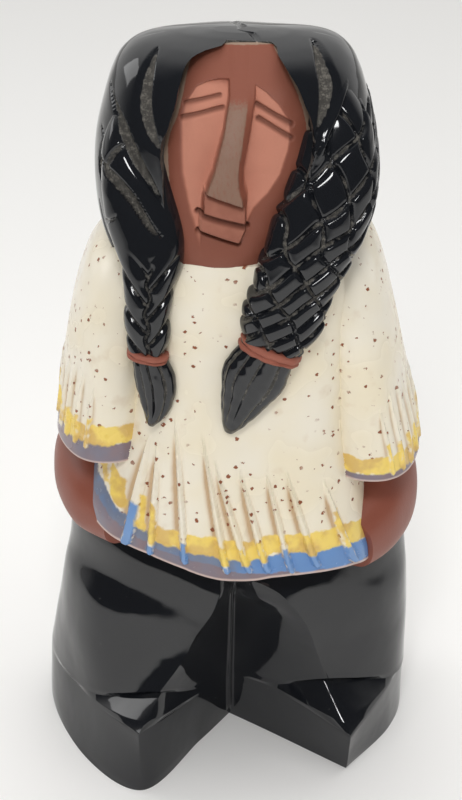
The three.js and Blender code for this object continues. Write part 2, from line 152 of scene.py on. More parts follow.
class Recipe:
    """A finish written down as shader nodes."""

    def __init__(self, name: str) -> None:
        """Starts a material with its one shader."""
        self.material = bpy.data.materials.new(name)
        self.material.use_nodes = True
        self.nodes = self.material.node_tree.nodes
        self.links = self.material.node_tree.links
        self.shader = self.nodes["Principled BSDF"]
        self.place = self.nodes.new("ShaderNodeTexCoord").outputs["Object"]

    def feed(self, value: Socket | float | Colour, socket: Socket) -> None:
        """Joins a value to a socket, or sets the socket where the value is a plain one."""
        if isinstance(value, bpy.types.NodeSocket):
            self.links.new(value, socket)
        elif isinstance(value, tuple):
            socket.default_value = (*value, 1.0) if len(socket.default_value) == 4 else value
        else:
            socket.default_value = value

    def mark(self, name: str) -> Socket:
        """The mark of this name that the form carries."""
        node = self.nodes.new("ShaderNodeAttribute")
        node.attribute_name = name
        return node.outputs["Fac"]

    def noise(self, size: float, detail: float = 2.0, stretch: tuple[float, float, float] = (1, 1, 1)) -> Socket:
        """Cloudy noise from 0 to 1.

        Args:
            size: How large its clouds are, in millimetres.
            detail: How many finer layers it has.
            stretch: How much longer the clouds are along each axis.
        """
        mapping = self.nodes.new("ShaderNodeMapping")
        mapping.inputs["Scale"].default_value = tuple(1 / (MILLIMETRE * size * s) for s in stretch)
        self.links.new(self.place, mapping.inputs["Vector"])
        node = self.nodes.new("ShaderNodeTexNoise")
        node.inputs["Scale"].default_value = 1.0
        node.inputs["Detail"].default_value = detail
        self.links.new(mapping.outputs["Vector"], node.inputs["Vector"])
        return node.outputs["Fac"]

    def spots(self, size: float, share: float, reach: float, wobble: float = 0.0, seed: float = 0.0) -> Socket:
        """Small scattered spots, 1 inside and 0 outside.

        Args:
            size: How far apart the places for a spot are, in millimetres.
            share: The share of those places that has one.
            reach: The spots' largest radius as a share of the size.
            wobble: How ragged their outline is, as a share of the size.
            seed: Another number moves them all.
        """
        mapping = self.nodes.new("ShaderNodeMapping")
        mapping.inputs["Scale"].default_value = (1 / (MILLIMETRE * size),) * 3
        mapping.inputs["Location"].default_value = (seed, seed * 0.7, seed * 1.3)
        self.links.new(self.place, mapping.inputs["Vector"])
        vector = mapping.outputs["Vector"]
        if wobble:
            shake = self.nodes.new("ShaderNodeTexNoise")
            shake.inputs["Scale"].default_value = 3.2
            self.links.new(vector, shake.inputs["Vector"])
            vector = self.vector("SUBTRACT", shake.outputs["Color"], (0.5, 0.5, 0.5))
            vector = self.vector("MULTIPLY", vector, (wobble, wobble, wobble * 0.4))
            vector = self.vector("ADD", vector, mapping.outputs["Vector"])
        cells = self.nodes.new("ShaderNodeTexVoronoi")
        cells.inputs["Scale"].default_value = 1.0
        self.links.new(vector, cells.inputs["Vector"])
        apart = self.nodes.new("ShaderNodeSeparateColor")
        self.links.new(cells.outputs["Color"], apart.inputs["Color"])
        radius = self.between(apart.outputs["Red"], 1 - share, 1.0, 0.0, reach)
        return self.between(self.sum("SUBTRACT", radius, cells.outputs["Distance"]), 0.0, 0.05)

    def vector(self, operation: str, a: Socket, b: Socket | Colour) -> Socket:
        """One vector sum."""
        node = self.nodes.new("ShaderNodeVectorMath")
        node.operation = operation
        self.feed(a, node.inputs[0])
        self.feed(b, node.inputs[1])
        return node.outputs["Vector"]

    def sum(self, operation: str, a: Socket | float, b: Socket | float) -> Socket:
        """One sum of numbers."""
        node = self.nodes.new("ShaderNodeMath")
        node.operation = operation
        self.feed(a, node.inputs[0])
        self.feed(b, node.inputs[1])
        return node.outputs["Value"]

    def between(
        self, value: Socket, low: float, high: float, start: float = 0.0, end: float | Socket = 1.0
    ) -> Socket:
        """A soft step: start where the value is at low or under, and end where it is at high or over."""
        node = self.nodes.new("ShaderNodeMapRange")
        node.interpolation_type = "SMOOTHSTEP"
        for socket, part in zip(("Value", "From Min", "From Max", "To Min", "To Max"), (value, low, high, start, end)):
            self.feed(part, node.inputs[socket])
        return node.outputs["Result"]

    def mix(self, share: Socket | float, under: Socket | Colour, over: Socket | Colour) -> Socket:
        """One colour laid over another."""
        node = self.nodes.new("ShaderNodeMix")
        node.data_type = "RGBA"
        self.feed(share, node.inputs["Factor"])
        self.feed(under, [s for s in node.inputs if s.name == "A" and s.type == "RGBA"][0])
        self.feed(over, [s for s in node.inputs if s.name == "B" and s.type == "RGBA"][0])
        return [s for s in node.outputs if s.type == "RGBA"][0]

    def bump(self, height: Socket, depth: float, under: Socket | None = None) -> Socket:
        """Fine relief, this many millimetres deep, over what is already there."""
        node = self.nodes.new("ShaderNodeBump")
        node.inputs["Strength"].default_value = 1.0
        node.inputs["Distance"].default_value = depth * MILLIMETRE
        self.links.new(height, node.inputs["Height"])
        if under:
            self.links.new(under, node.inputs["Normal"])
        return node.outputs["Normal"]

    def finish(self, colour: Socket, rough: Socket, normal: Socket, bend: float) -> bpy.types.Material:
        """Joins the finish to the shader.

        Args:
            colour: Its colour.
            rough: Its roughness.
            normal: Its fine relief.
            bend: How strongly it bends light, which sets how much it mirrors.
        """
        self.links.new(colour, self.shader.inputs["Base Color"])
        self.links.new(rough, self.shader.inputs["Roughness"])
        self.links.new(normal, self.shader.inputs["Normal"])
        self.shader.inputs["IOR"].default_value = bend
        return self.material


@dataclass(frozen=True)
class BlackGlaze:
    """Thick glossy black glaze, with grey unglazed clay and dust left in the carved grooves."""

    black: Colour = (0.0085, 0.0095, 0.012)
    dust: Colour = light(118, 114, 106)
    dark_dust: Colour = light(62, 59, 55)
    pinhole: Colour = light(150, 148, 142)

    def material(self) -> bpy.types.Material:
        """The glaze."""
        r = Recipe("black_glaze")
        patches = r.noise(1.9, 4)
        grain = r.noise(0.45, 2)
        bare = r.sum("ADD", r.mark("dry"), r.sum("MULTIPLY", r.sum("SUBTRACT", patches, 0.5), 0.9))
        bare = r.between(bare, 0.34, 0.74)
        dust = r.mix(r.between(r.sum("ADD", grain, patches), 0.92, 1.3), self.dark_dust, self.dust)
        holes = r.spots(2.6, 0.06, 0.09, 0.2)
        colour = r.mix(r.sum("MULTIPLY", bare, 0.86), r.mix(holes, self.black, self.pinhole), dust)
        sheen = r.between(r.noise(14, 2), 0.3, 0.7, 0.045, 0.1)
        rough = r.sum("MAXIMUM", sheen, r.sum("MULTIPLY", bare, 0.82))
        flow = r.bump(r.noise(9, 1), 0.16)
        grit = r.bump(r.sum("MULTIPLY", grain, bare), 0.22, flow)
        return r.finish(colour, rough, grit, 1.58)


@dataclass(frozen=True)
class BareClay:
    """Unglazed terracotta: darker and smoother where it was burnished, lighter where it was scooped, and darkened with
    painted shade in its slits and under the nose.
    """

    name: str
    skin: Colour = light(134, 78, 61)
    fresh: Colour = light(191, 129, 108)
    worn: Colour = light(134, 108, 92)
    shade: Colour = light(92, 52, 40)
    # This dark colour is painted shade in the slits and under the nose, and also the darker grain of the clay.
    edge: Colour = light(158, 140, 122)
    smooth: float = 0.52

    def material(self) -> bpy.types.Material:
        """The clay."""
        r = Recipe(self.name)
        cloud = r.noise(7, 3)
        grain = r.noise(0.5, 3)
        streaks = r.noise(0.8, 3, (1, 1, 7))
        scoop, dust, slit, edge = (r.mark(name) for name in ("scoop", "dust", "slit", "edge"))
        tone = r.sum("ADD", scoop, r.sum("MULTIPLY", r.sum("SUBTRACT", cloud, 0.5), 0.5))
        colour = r.mix(r.between(tone, 0.0, 1.0), self.skin, self.fresh)
        dusty = r.sum("ADD", dust, r.sum("MULTIPLY", r.sum("SUBTRACT", streaks, 0.55), 1.1))
        colour = r.mix(r.sum("MULTIPLY", r.between(dusty, 0.35, 1.0), 0.85), colour, self.worn)
        rim = r.sum("ADD", edge, r.sum("MULTIPLY", r.sum("SUBTRACT", r.noise(1.2, 3), 0.5), 0.9))
        colour = r.mix(r.sum("MULTIPLY", r.between(rim, 0.4, 0.8), 0.8), colour, self.edge)
        # Painted shade: the carved slits and the hollow under the nose are darkened towards the shade colour.
        colour = r.mix(r.sum("MULTIPLY", slit, 0.72), colour, self.shade)
        colour = r.mix(r.between(grain, 0.62, 0.85, 0.0, 0.22), colour, self.shade)
        colour = r.mix(r.spots(2.4, 0.1, 0.09, 0.2, 3.0), colour, light(226, 190, 170))
        rough = r.between(r.sum("ADD", scoop, r.sum("MULTIPLY", cloud, 0.4)), 0.1, 1.1, self.smooth, 0.8)
        grit = r.bump(grain, 0.05)
        marks = r.bump(streaks, 0.05, grit)
        return r.finish(colour, rough, marks, 1.45)


@dataclass(frozen=True)
class CreamGlaze:
    """Satin cream glaze with rust specks, a tan wash with painted shade in the hollows beside its strips, and painted
    bands along the hems.
    """

    cream: Colour = light(243, 236, 220)
    warm: Colour = light(240, 226, 192)
    # Tan also paints the shade beside the strips, through the wash mark.
    tan: Colour = light(196, 160, 116)
    speck: Colour = light(122, 66, 40)
    yellow: Colour = light(247, 216, 104)
    ochre: Colour = light(222, 184, 98)
    blue: Colour = light(98, 146, 204)
    slate: Colour = light(116, 126, 146)
    clay: Colour = light(146, 112, 108)
    lip: Colour = light(214, 190, 180)

    def material(self) -> bpy.types.Material:
        """The glaze."""
        r = Recipe("cream_glaze")
        broad, cloud, fine = r.noise(26, 2), r.noise(9, 3), r.noise(1.6, 3)
        waver = r.sum("MULTIPLY", r.sum("SUBTRACT", r.noise(6, 2), 0.5), 4.0)
        waver = r.sum("ADD", waver, r.sum("MULTIPLY", r.sum("SUBTRACT", fine, 0.5), 1.2))
        colour = r.mix(r.between(broad, 0.25, 0.8, 0.0, 0.7), self.cream, self.warm)
        colour = r.mix(r.between(cloud, 0.6, 0.8, 0.0, 0.22), colour, self.tan)
        wash = r.sum("ADD", r.mark("wash"), r.sum("MULTIPLY", r.sum("SUBTRACT", cloud, 0.5), 0.35))
        # Tan over the hollows beside the strips: partly a wash of the glaze, partly painted shade.
        colour = r.mix(r.between(wash, 0.25, 1.0, 0.0, 0.85), colour, self.tan)
        specks = r.sum(
            "MULTIPLY", r.spots(2.9, 0.8, 0.31, 0.7, 1.0), r.between(r.noise(15, 1), 0.3, 0.46)
        )
        colour = r.mix(specks, colour, r.mix(fine, self.speck, light(160, 92, 52)))
        rise = r.mark("rise")
        clay = r.between(r.sum("ADD", r.mark("clay"), waver), -0.6, 0.6)
        colour = r.mix(clay, colour, r.mix(cloud, self.clay, self.slate))
        blue = r.between(r.sum("ADD", r.mark("blue"), waver), -0.5, 0.5)
        hue = r.mix(r.between(r.sum("ADD", r.mark("vivid"), cloud), 0.4, 1.2), self.slate, self.blue)
        colour = r.mix(r.sum("MULTIPLY", blue, 0.92), colour, hue)
        yellow = r.between(r.sum("ADD", r.mark("yellow"), waver), -0.4, 0.6)
        hue = r.mix(r.between(cloud, 0.42, 0.62), self.yellow, self.ochre)
        colour = r.mix(r.sum("MULTIPLY", yellow, 0.95), colour, hue)
        colour = r.mix(r.between(rise, 0.5, 1.3, 0.85, 0.0), colour, self.lip)
        rough = r.sum("ADD", r.between(broad, 0.3, 0.7, 0.2, 0.3), r.sum("MULTIPLY", specks, 0.25))
        flow = r.bump(cloud, 0.12)
        pits = r.bump(r.sum("SUBTRACT", 1.0, specks), 0.06, flow)
        return r.finish(colour, rough, pits, 1.5)


@dataclass
class Skin:
    """A form's points on a grid of rings, lowest first, with the marks that its finish reads."""

    points: Array
    marks: dict[str, Array] = field(default_factory=dict)

    def outward(self) -> Array:
        """The outward direction at each point."""
        round_it = np.roll(self.points, -1, axis=1) - np.roll(self.points, 1, axis=1)
        return unit(np.cross(round_it, np.gradient(self.points, axis=0)))

    def press(self, depth: Array) -> None:
        """Moves each point outwards by this many millimetres, or inwards where it is negative."""
        self.points = self.points + self.outward() * depth[..., None]


class Joining(Enum):
    """How two forms of clay become one."""

    FUSE = "UNION"
    CARVE = "DIFFERENCE"


class Clay:
    """The making of closed forms, and the joining of them."""

    @staticmethod
    def pull(name: str, skin: Skin, finish: bpy.types.Material) -> bpy.types.Object:
        """Rolls a sheet into a tube, closes its ends and pulls it to the skin's points.

        Args:
            name: What the form is called.
            skin: Where the sheet's points go, one row for each ring.
            finish: What it is covered with.

        Returns:
            The form, in place. Each end is closed by a fan to the middle of its last ring.
        """
        rings, around = skin.points.shape[:2]
        bpy.ops.object.select_all(action="DESELECT")
        bpy.ops.mesh.primitive_grid_add(x_subdivisions=around, y_subdivisions=rings - 1, size=2, calc_uvs=False)
        form = bpy.context.object
        form.name = form.data.name = name
        form.data.materials.append(finish)
        sheet = Clay.read(form)
        column = np.rint((sheet[:, 0] + 1) / 2 * around).astype(int) % around
        row = np.rint((sheet[:, 1] + 1) / 2 * (rings - 1)).astype(int)
        points = (skin.points[row, column] + TO_PART) * MILLIMETRE
        form.data.vertices.foreach_set("co", points.astype(np.float32).ravel())
        for mark, values in {**skin.marks, "kept": np.ones((rings, around))}.items():
            Clay.write(form, mark, values[row, column])
        form.data.update()
        Clay._close(form)
        return form

    @staticmethod
    def _close(form: bpy.types.Object) -> None:
        """Merges the sheet's two long edges and closes its two ends."""
        bpy.ops.object.mode_set(mode="EDIT")
        bpy.ops.mesh.select_mode(type="EDGE")
        bpy.ops.mesh.select_all(action="SELECT")
        bpy.ops.mesh.remove_doubles(threshold=1e-7)
        bpy.ops.mesh.select_all(action="DESELECT")
        bpy.ops.mesh.select_non_manifold(
            extend=False, use_wire=False, use_multi_face=False, use_non_contiguous=False, use_verts=False
        )
        bpy.ops.mesh.fill_holes(sides=0)
        bpy.ops.mesh.select_mode(type="FACE")
        bpy.ops.mesh.select_all(action="DESELECT")
        bpy.ops.mesh.select_face_by_sides(number=4, type="GREATER", extend=False)
        bpy.ops.mesh.poke()
        bpy.ops.object.mode_set(mode="OBJECT")

    @staticmethod
    def read(form: bpy.types.Object) -> Array:
        """The form's points as they stand."""
        points = np.empty(len(form.data.vertices) * 3, np.float32)
        form.data.vertices.foreach_get("co", points)
        return points.reshape(-1, 3).astype(float)

    @staticmethod
    def write(form: bpy.types.Object, mark: str, values: Array) -> None:
        """Keeps a mark on the form's points, for its finish to read."""
        data = form.data.attributes.get(mark) or form.data.attributes.new(mark, "FLOAT", "POINT")
        data.data.foreach_set("value", values.astype(np.float32).ravel())

    @staticmethod
    def join(whole: bpy.types.Object, other: bpy.types.Object, how: Joining) -> None:
        """Fuses another form to the whole, or carves it out of the whole, and uses it up."""
        step = whole.modifiers.new("join", "BOOLEAN")
        step.operation, step.object, step.solver = how.value, other, "MANIFOLD"
        step.material_mode = "TRANSFER"
        Clay.only(whole)
        bpy.ops.object.modifier_apply(modifier=step.name)
        bpy.data.objects.remove(other)

    @staticmethod
    def only(form: bpy.types.Object) -> None:
        """Makes the form the one selected and active object."""
        bpy.ops.object.select_all(action="DESELECT")
        form.select_set(True)
        bpy.context.view_layer.objects.active = form

    @staticmethod
    def mend_marks(form: bpy.types.Object) -> None:
        """Gives the points that a join made the marks of the points next to them."""
        mesh = form.data
        kept = np.empty(len(mesh.vertices), np.float32)
        mesh.attributes["kept"].data.foreach_get("value", kept)
        edges = np.empty(len(mesh.edges) * 2, np.int32)
        mesh.edges.foreach_get("vertices", edges)
        edges = np.concatenate((edges.reshape(-1, 2), edges.reshape(-1, 2)[:, ::-1]))
        names = [a.name for a in mesh.attributes if a.data_type == "FLOAT" and a.domain == "POINT" and a.name != "kept"]
        known = kept > 0.5
        for _ in range(4):
            use = edges[known[edges[:, 1]] & ~known[edges[:, 0]]]
            count = np.bincount(use[:, 0], minlength=len(kept))
            for name in names:
                values = np.empty(len(kept), np.float32)
                mesh.attributes[name].data.foreach_get("value", values)
                total = np.bincount(use[:, 0], weights=values[use[:, 1]], minlength=len(kept))
                values = np.where(count > 0, total / np.maximum(count, 1), values)
                Clay.write(form, name, values)
            known = known | (count > 0)
        mesh.attributes.remove(mesh.attributes["kept"])

    @staticmethod
    def finish(form: bpy.types.Object, crease: float = 38.0) -> bpy.types.Object:
        """Cleans the form, shades it smooth up to a crease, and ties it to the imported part."""
        Clay.only(form)
        bpy.ops.object.mode_set(mode="EDIT")
        bpy.ops.mesh.select_all(action="SELECT")
        bpy.ops.mesh.remove_doubles(threshold=0.00002)
        bpy.ops.mesh.dissolve_degenerate(threshold=0.00001)
        bpy.ops.object.mode_set(mode="OBJECT")
        Clay.mend_marks(form)
        bpy.ops.object.shade_smooth_by_angle(angle=math.radians(crease))
        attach(form, "root")
        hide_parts("figure")
        return form


@dataclass(frozen=True)
class PulledForm:
    """A closed form drawn along a path.

    The stations are: share of the length, x, y, z, half width, half depth. The width is square to
    the path and to the front.
    """

    stations: tuple[tuple[float, ...], ...]
    around: int
    rings: int
    squareness: float
    front: tuple[float, float, float] = (0, -1, 0)

    def skin(self, relief: Callable[[Array, Array], Array] | None = None) -> tuple[Skin, Array, Array]:
        """The form's skin, with the turn and the share of the length at each of its points.

        Args:
            relief: What is added to its size at each turn and share.
        """
        at = Track(list(self.stations))
        turn = np.broadcast_to(np.arange(self.around) * TAU / self.around, (self.rings, self.around))
        along = np.broadcast_to(1 - np.linspace(0, 1, self.rings)[:, None], turn.shape)
        x, y, z, wide, deep = at(along)
        before, after = (np.stack(at(np.clip(along + step, 0, 1))[:3], -1) for step in (-0.02, 0.02))
        up = before - after
        across = unit(np.cross(up, np.array(self.front, float)))
        ahead = unit(np.cross(up, across))
        extra = relief(turn, along) if relief else 0.0
        dx, dy = level_cut(turn, (wide + extra, wide + extra, deep + extra, deep + extra), self.squareness)
        points = np.stack((x, y, z), -1) + across * dx[..., None] + ahead * dy[..., None]
        return Skin(points), turn, along


class HeadShape:
    """The outline of the hair, shared by all that lies on the head."""

    levels = Track(
        [
            (188, 29, 24, 28),
            (197, 39, 33, 36),
            (206, 44.6, 38.5, 41),
            (219, 48.8, 42, 44.5),
            (234, 50.4, 43.8, 45),
            (249, 49.2, 42.8, 44),
            (262, 46.4, 39.8, 40),
            (273, 43, 34.4, 34),
            (280, 38.8, 27.5, 25.5),
            (284, 32, 19, 15),
            (286, 20, 9, 7),
            (286.6, 8, 4, 3),
        ]
    )
    low, high = 188.0, 286.6
    middle = -0.4
    squareness = 2.3

    @classmethod
    def on_hair(cls, x: float, height: float) -> tuple[float, float, float]:
        """The point on the front of the hair at an x and a height."""
        width, front, _ = (float(v) for v in cls.levels(np.array(height)))
        share = min(abs(x - cls.middle) / width, 1.0)
        return x, -front * (1 - share**cls.squareness) ** (1 / cls.squareness), height

    @classmethod
    def turn(cls, points: Array) -> Array:
        """The angle round the head, 0 at the front and growing towards +X."""
        return np.arctan2(points[..., 0] - cls.middle, -points[..., 1])


class Steep(Enum):
    """Which wall of a gouge's cut is the steep one, seen from the front along its path."""

    LEFT = -1
    BOTH = 0
    RIGHT = 1


@dataclass(frozen=True)
class Stroke:
    """One sweep of a gouge over the hair: a leaf-shaped cut, thin at both ends."""

    path: tuple[tuple[float, ...], ...]
    width: float
    depth: float
    steep: Steep = Steep.RIGHT
    dusty: float = 1.0

    def cut(self, points: Array, outward: Array) -> tuple[Array, Array]:
        """How deep the stroke cuts into each point in millimetres, and how dusty it is there."""
        path = [p if len(p) == 3 else HeadShape.on_hair(*p) for p in self.path]
        track = Track([(i, *p) for i, p in enumerate(path)])
        share = np.linspace(0, 1, 48)
        spots = np.array(track(share * (len(path) - 1))).T
        way = unit(np.gradient(spots, axis=0))
        low, high = spots.min(axis=0) - self.width, spots.max(axis=0) + self.width
        near = ((points > low) & (points < high)).all(axis=-1)
        p, out = points[near], outward[near]
        best, side, where = np.full(len(p), np.inf), np.zeros(len(p)), np.zeros(len(p))
        for spot, direction, place in zip(spots, way, share):
            gap = p - spot
            gap = gap - out * (gap * out).sum(-1, keepdims=True) * 0.8
            far = (gap * gap).sum(-1)
            nearer = far < best
            best, where = np.where(nearer, far, best), np.where(nearer, place, where)
            side = np.where(nearer, np.sign((np.cross(out, direction) * gap).sum(-1)), side)
        leaf = np.clip(np.sin(where * math.pi), 0, 1) ** 0.55
        off = np.sqrt(best) * side / np.maximum(self.width / 2 * leaf, 0.05)
        if self.steep is Steep.BOTH:
            profile = np.clip(1 - off**2, 0, 1) ** 0.8
        else:
            t = (off * self.steep.value + 1) / 2
            profile = smoothstep(t, 0.0, 0.8) * (1 - smoothstep(t, 0.84, 1.0))
        depth, dry = np.zeros(points.shape[:-1]), np.zeros(points.shape[:-1])
        depth[near] = self.depth * profile * leaf
        dry[near] = self.dusty * smoothstep(profile * leaf, 0.22, 0.6)
        return depth, dry


@dataclass(frozen=True)
class Lattice:
    """The cells carved across a braid by two families of grooves that cross.

    Places are taken on the side of the head: the arc from the front, and the height.
    """

    slope: float = 0.75
    falls: tuple[float, ...] = (252, 239, 226.3, 214.8, 206.1, 198.4, 191.2, 184.2, 177.6, 171)
    verticals: tuple[float, ...] = (-14, -4, 6, 16, 26, 35, 44, 54.5, 66, 78)
    bend_height: float = 222
    lean: float = 2.2
    groove: float = 0.7
    depth: float = 1.3
    radius: float = 47

    def relief(self, points: Array) -> tuple[Array, Array]:
        """The carving's relief in millimetres, and how much of each point is groove."""
        arc = np.abs(HeadShape.turn(points)) * self.radius
        height = points[..., 2] + 1.1 * ripple(points, 22, 5)
        fall = height - self.slope * arc
        across = arc - np.maximum(self.bend_height - height, 0) / self.lean + 1.0 * ripple(points, 18, 6)
        a, tilt_a = self._from_lines(fall, self.falls, math.hypot(1, self.slope))
        b, tilt_b = self._from_lines(across, self.verticals, 1.0)
        near = np.minimum(a, b * 1.15)
        cut = np.exp(-((near / self.groove) ** 2))
        pillow = 1 - np.exp(-near / 1.8)
        chisel = 0.8 * tilt_a + 0.3 * tilt_b
        worn = np.clip(0.55 + 0.5 * ripple(points, 9, 7), 0.15, 0.9)
        return -self.depth * cut + 0.5 * pillow + chisel * pillow, cut * worn

    @staticmethod
    def _from_lines(place: Array, lines: tuple[float, ...], steep: float) -> tuple[Array, Array]:
        """How far each place is from the nearest line, and a slant across each gap from -1 to 1."""
        marks = np.sort(np.array(lines, float))
        i = np.clip(np.searchsorted(marks, place) - 1, 0, len(marks) - 2)
        low, high = marks[i], marks[i + 1]
        share = np.clip((place - low) / (high - low), 0, 1)
        return np.minimum(np.abs(place - low), np.abs(high - place)) / steep, share * 2 - 1


@dataclass(frozen=True)
class HairCarving:
    """All that is carved into the hair and into the braids where they leave it."""

    left: tuple[Stroke, ...] = (
        Stroke(((-27.2, 284.2), (-31.2, 278), (-32.2, 269), (-29.8, 261), (-25.6, 255.8)), 8.6, 2.4),
        Stroke(((-43.6, 271), (-40.6, 263), (-36.8, 255), (-31.8, 247.5), (-25.6, 239.2)), 6.6, 2.2),
        Stroke(((-47, 257), (-43.6, 249), (-40, 243.2), (-35.4, 236.6), (-29.8, 228.1), (-23.6, 219.4)), 6.2, 2.3),
        Stroke(((-49, 230), (-47, 219), (-42.5, 210.5), (-36, 203.5)), 5.6, 1.9),
        Stroke(((-45.6, 255), (-47.4, 246), (-47.6, 238)), 5.4, 1.6, Steep.LEFT),
        Stroke(((-37.2, 257), (-39.6, 251.5), (-41.2, 244.5)), 4.6, 1.4, Steep.LEFT, 0.6),
        Stroke(((-40.6, 244), (-43.4, 237), (-45.2, 229)), 4.8, 1.5, Steep.LEFT, 0.6),
        Stroke(((-34.4, 236.4), (-37.2, 229.5), (-40.4, 220)), 4.8, 1.5, Steep.LEFT, 0.6),
        Stroke(((-29.4, 227.6), (-32.3, 221.6), (-35.4, 213)), 4.4, 1.5, Steep.LEFT, 0.6),
        Stroke(((-40.6, 221), (-43, 214), (-43.6, 207)), 4.2, 1.4, Steep.LEFT, 0.6),
        Stroke(((-26, 262), (-25, 254), (-24, 244)), 3.4, 0.8, Steep.RIGHT, 0.3),
    )
    right: tuple[Stroke, ...] = (
        Stroke(((26, 285), (29.6, 280.8), (31.4, 275.4), (30.4, 269.4), (26.8, 261.6)), 10, 2.2, Steep.LEFT),
        Stroke(((28.4, 259.5), (26.8, 253), (25.4, 246)), 4.0, 1.1, Steep.LEFT, 0.2),
        Stroke(((37.5, 275), (34, 268.5), (29.6, 261), (26.6, 252)), 3.0, -1.2, Steep.BOTH, 0.0),
    )
    parting: Stroke = Stroke(
        ((7, -11, 284.8), (5.5, -5.6, 286.2), (0.3, 7, 287.1), (-2, 20, 284), (-3, 33, 274)), 3.0, 0.9, Steep.BOTH, 0.35
    )

    def relief(self, skin: Skin) -> tuple[Array, Array]:
        """The relief of all carving in millimetres, and how dry its hollows are."""
        points, outward = skin.points, skin.outward()
        turn = HeadShape.turn(points)
        lattice, groove = Lattice().relief(points)
        beside = smoothstep(turn, 0.5, 0.6) * (1 - smoothstep(turn, 1.75, 2.1))
        edge = 263.5 - 12 * np.clip(1.1 - turn, 0, 0.6)
        beside = beside * (1 - smoothstep(points[..., 2] - edge, -0.5, 1.5))
        relief, dry = lattice * beside, groove * beside
        for stroke in (*self.left, *self.right, self.parting):
            depth, dust = stroke.cut(points, outward)
            relief, dry = relief - depth, np.maximum(dry, dust)
        behind = smoothstep(np.abs(turn), 1.9, 2.3)
        combing = np.sin(turn * 26 + 3 * np.sin(points[..., 2] / 17)) * behind * smoothstep(points[..., 2], 283, 262)
        return relief - 0.35 * combing**2, dry


@dataclass
class Hair:
    """The mass of hair with its parting, its gouges and its carved sides."""

    glaze: bpy.types.Material
    columns: int = 400
    rings: int = 200

    def skin(self) -> Skin:
        """The head of hair with its carving."""
        sides = lambda a: 1 + 1.3 * swell(np.abs(a), 0.95, 0.75)
        turn = crowded(self.columns, sides, -TAU / 2, TAU / 2)
        turn = np.roll(turn, -self.columns // 2) % TAU
        turn = np.broadcast_to(turn, (self.rings, self.columns))
        share = np.linspace(0, 1, self.rings)[:, None] + 0 * turn
        height = HeadShape.low + (HeadShape.high - HeadShape.low) * np.sin(share * TAU / 4) ** 0.9
        width, front, back = HeadShape.levels(height)
        x, y = level_cut(turn, (width, width, front, back), HeadShape.squareness)
        skin = Skin(np.stack((x + HeadShape.middle, y, height), -1))
        skin.press(0.35 * ripple(skin.points, 34, 2) + self._lobes(skin.points))
        relief, dry = HairCarving().relief(skin)
        skin.press(relief)
        skin.marks["dry"] = dry
        return skin

    @staticmethod
    def _lobes(points: Array) -> Array:
        """The two swelling locks that frame the face."""
        x, z = points[..., 0], points[..., 2]
        ahead = points[..., 1] < 0
        left = swell(x, -21, 8) * swell(z, 268, 15)
        right = swell(x, 21, 8) * swell(z, 270, 14)
        return 1.3 * (left + right) * ahead

    def build(self, face: "Face") -> bpy.types.Object:
        """The hair with the opening for the face cut out."""
        hair = Clay.pull("hair", self.skin(), self.glaze)
        Clay.join(hair, face.opening(self.glaze), Joining.CARVE)
        return Clay.finish(hair)


@dataclass
class Braid:
    """One braid that hangs in front of a shoulder, and its brush of loose ends."""

    side: str
    glaze: bpy.types.Material
    braid: PulledForm
    tassel: PulledForm
    flutes: int
    plaited: bool

    def build(self) -> bpy.types.Object:
        """The braid and its brush, fused where the tie goes round them."""
        skin, turn, along = self.braid.skin()
        relief, groove = HairCarving().relief(skin) if self.plaited else Lattice().relief(skin.points)
        if self.plaited:
            x, z = skin.points[..., 0], skin.points[..., 2]
            middle = Track(list(self.braid.stations))(along)[0]
            plait, seam = self._plait(x - middle, z)
            low = smoothstep(z, 224, 214)
            relief, groove = relief * (1 - low) + plait * low, groove * (1 - low) + seam * low
        skin.press(relief)
        skin.marks["dry"] = groove
        braid = Clay.pull(f"{self.side}_braid", skin, self.glaze)
        Clay.join(braid, self._brush(), Joining.FUSE)
        return Clay.finish(braid)

    @staticmethod
    def _plait(across: Array, height: Array) -> tuple[Array, Array]:
        """The leaf-shaped locks of a plait, which meet in a zigzag down its middle."""
        period, slant = 10.5, 1.15
        row = (height + slant * -np.abs(across)) / period + np.where(across < 0, 0.5, 0.0)
        gap = np.abs(row - np.rint(row)) * period / math.hypot(1, slant)
        seam = np.minimum(gap, np.abs(across + 0.8 * np.sin(height * TAU / period)) * 0.9)
        cut = np.exp(-((seam / 0.75) ** 2))
        return 0.7 * (1 - np.exp(-seam / 1.8)) - 1.3 * cut, 0.6 * cut

    def _brush(self) -> bpy.types.Object:
        """The loose ends below the tie: a few thick strands that meet in a smooth tip."""

        def wave(turn: Array) -> Array:
            """0 in the grooves between the strands and 1 on the strands."""
            return np.abs(np.sin(self.flutes * (turn + 0.25 * np.sin(2 * turn + 1)) / 2))

        def strands(turn: Array, along: Array) -> Array:
            """The grooves between the strands, which fade out towards the tip."""
            return 1.3 * (wave(turn) ** 0.5 - 1) * (1 - smoothstep(along, 0.72, 0.95))

        skin, turn, along = self.tassel.skin(strands)
        skin.press(0.15 * ripple(skin.points, 5, 12))
        skin.marks["dry"] = (1 - smoothstep(wave(turn), 0.1, 0.4)) * (1 - smoothstep(along, 0.5, 0.8)) * 0.8
        return Clay.pull("brush", skin, self.glaze)


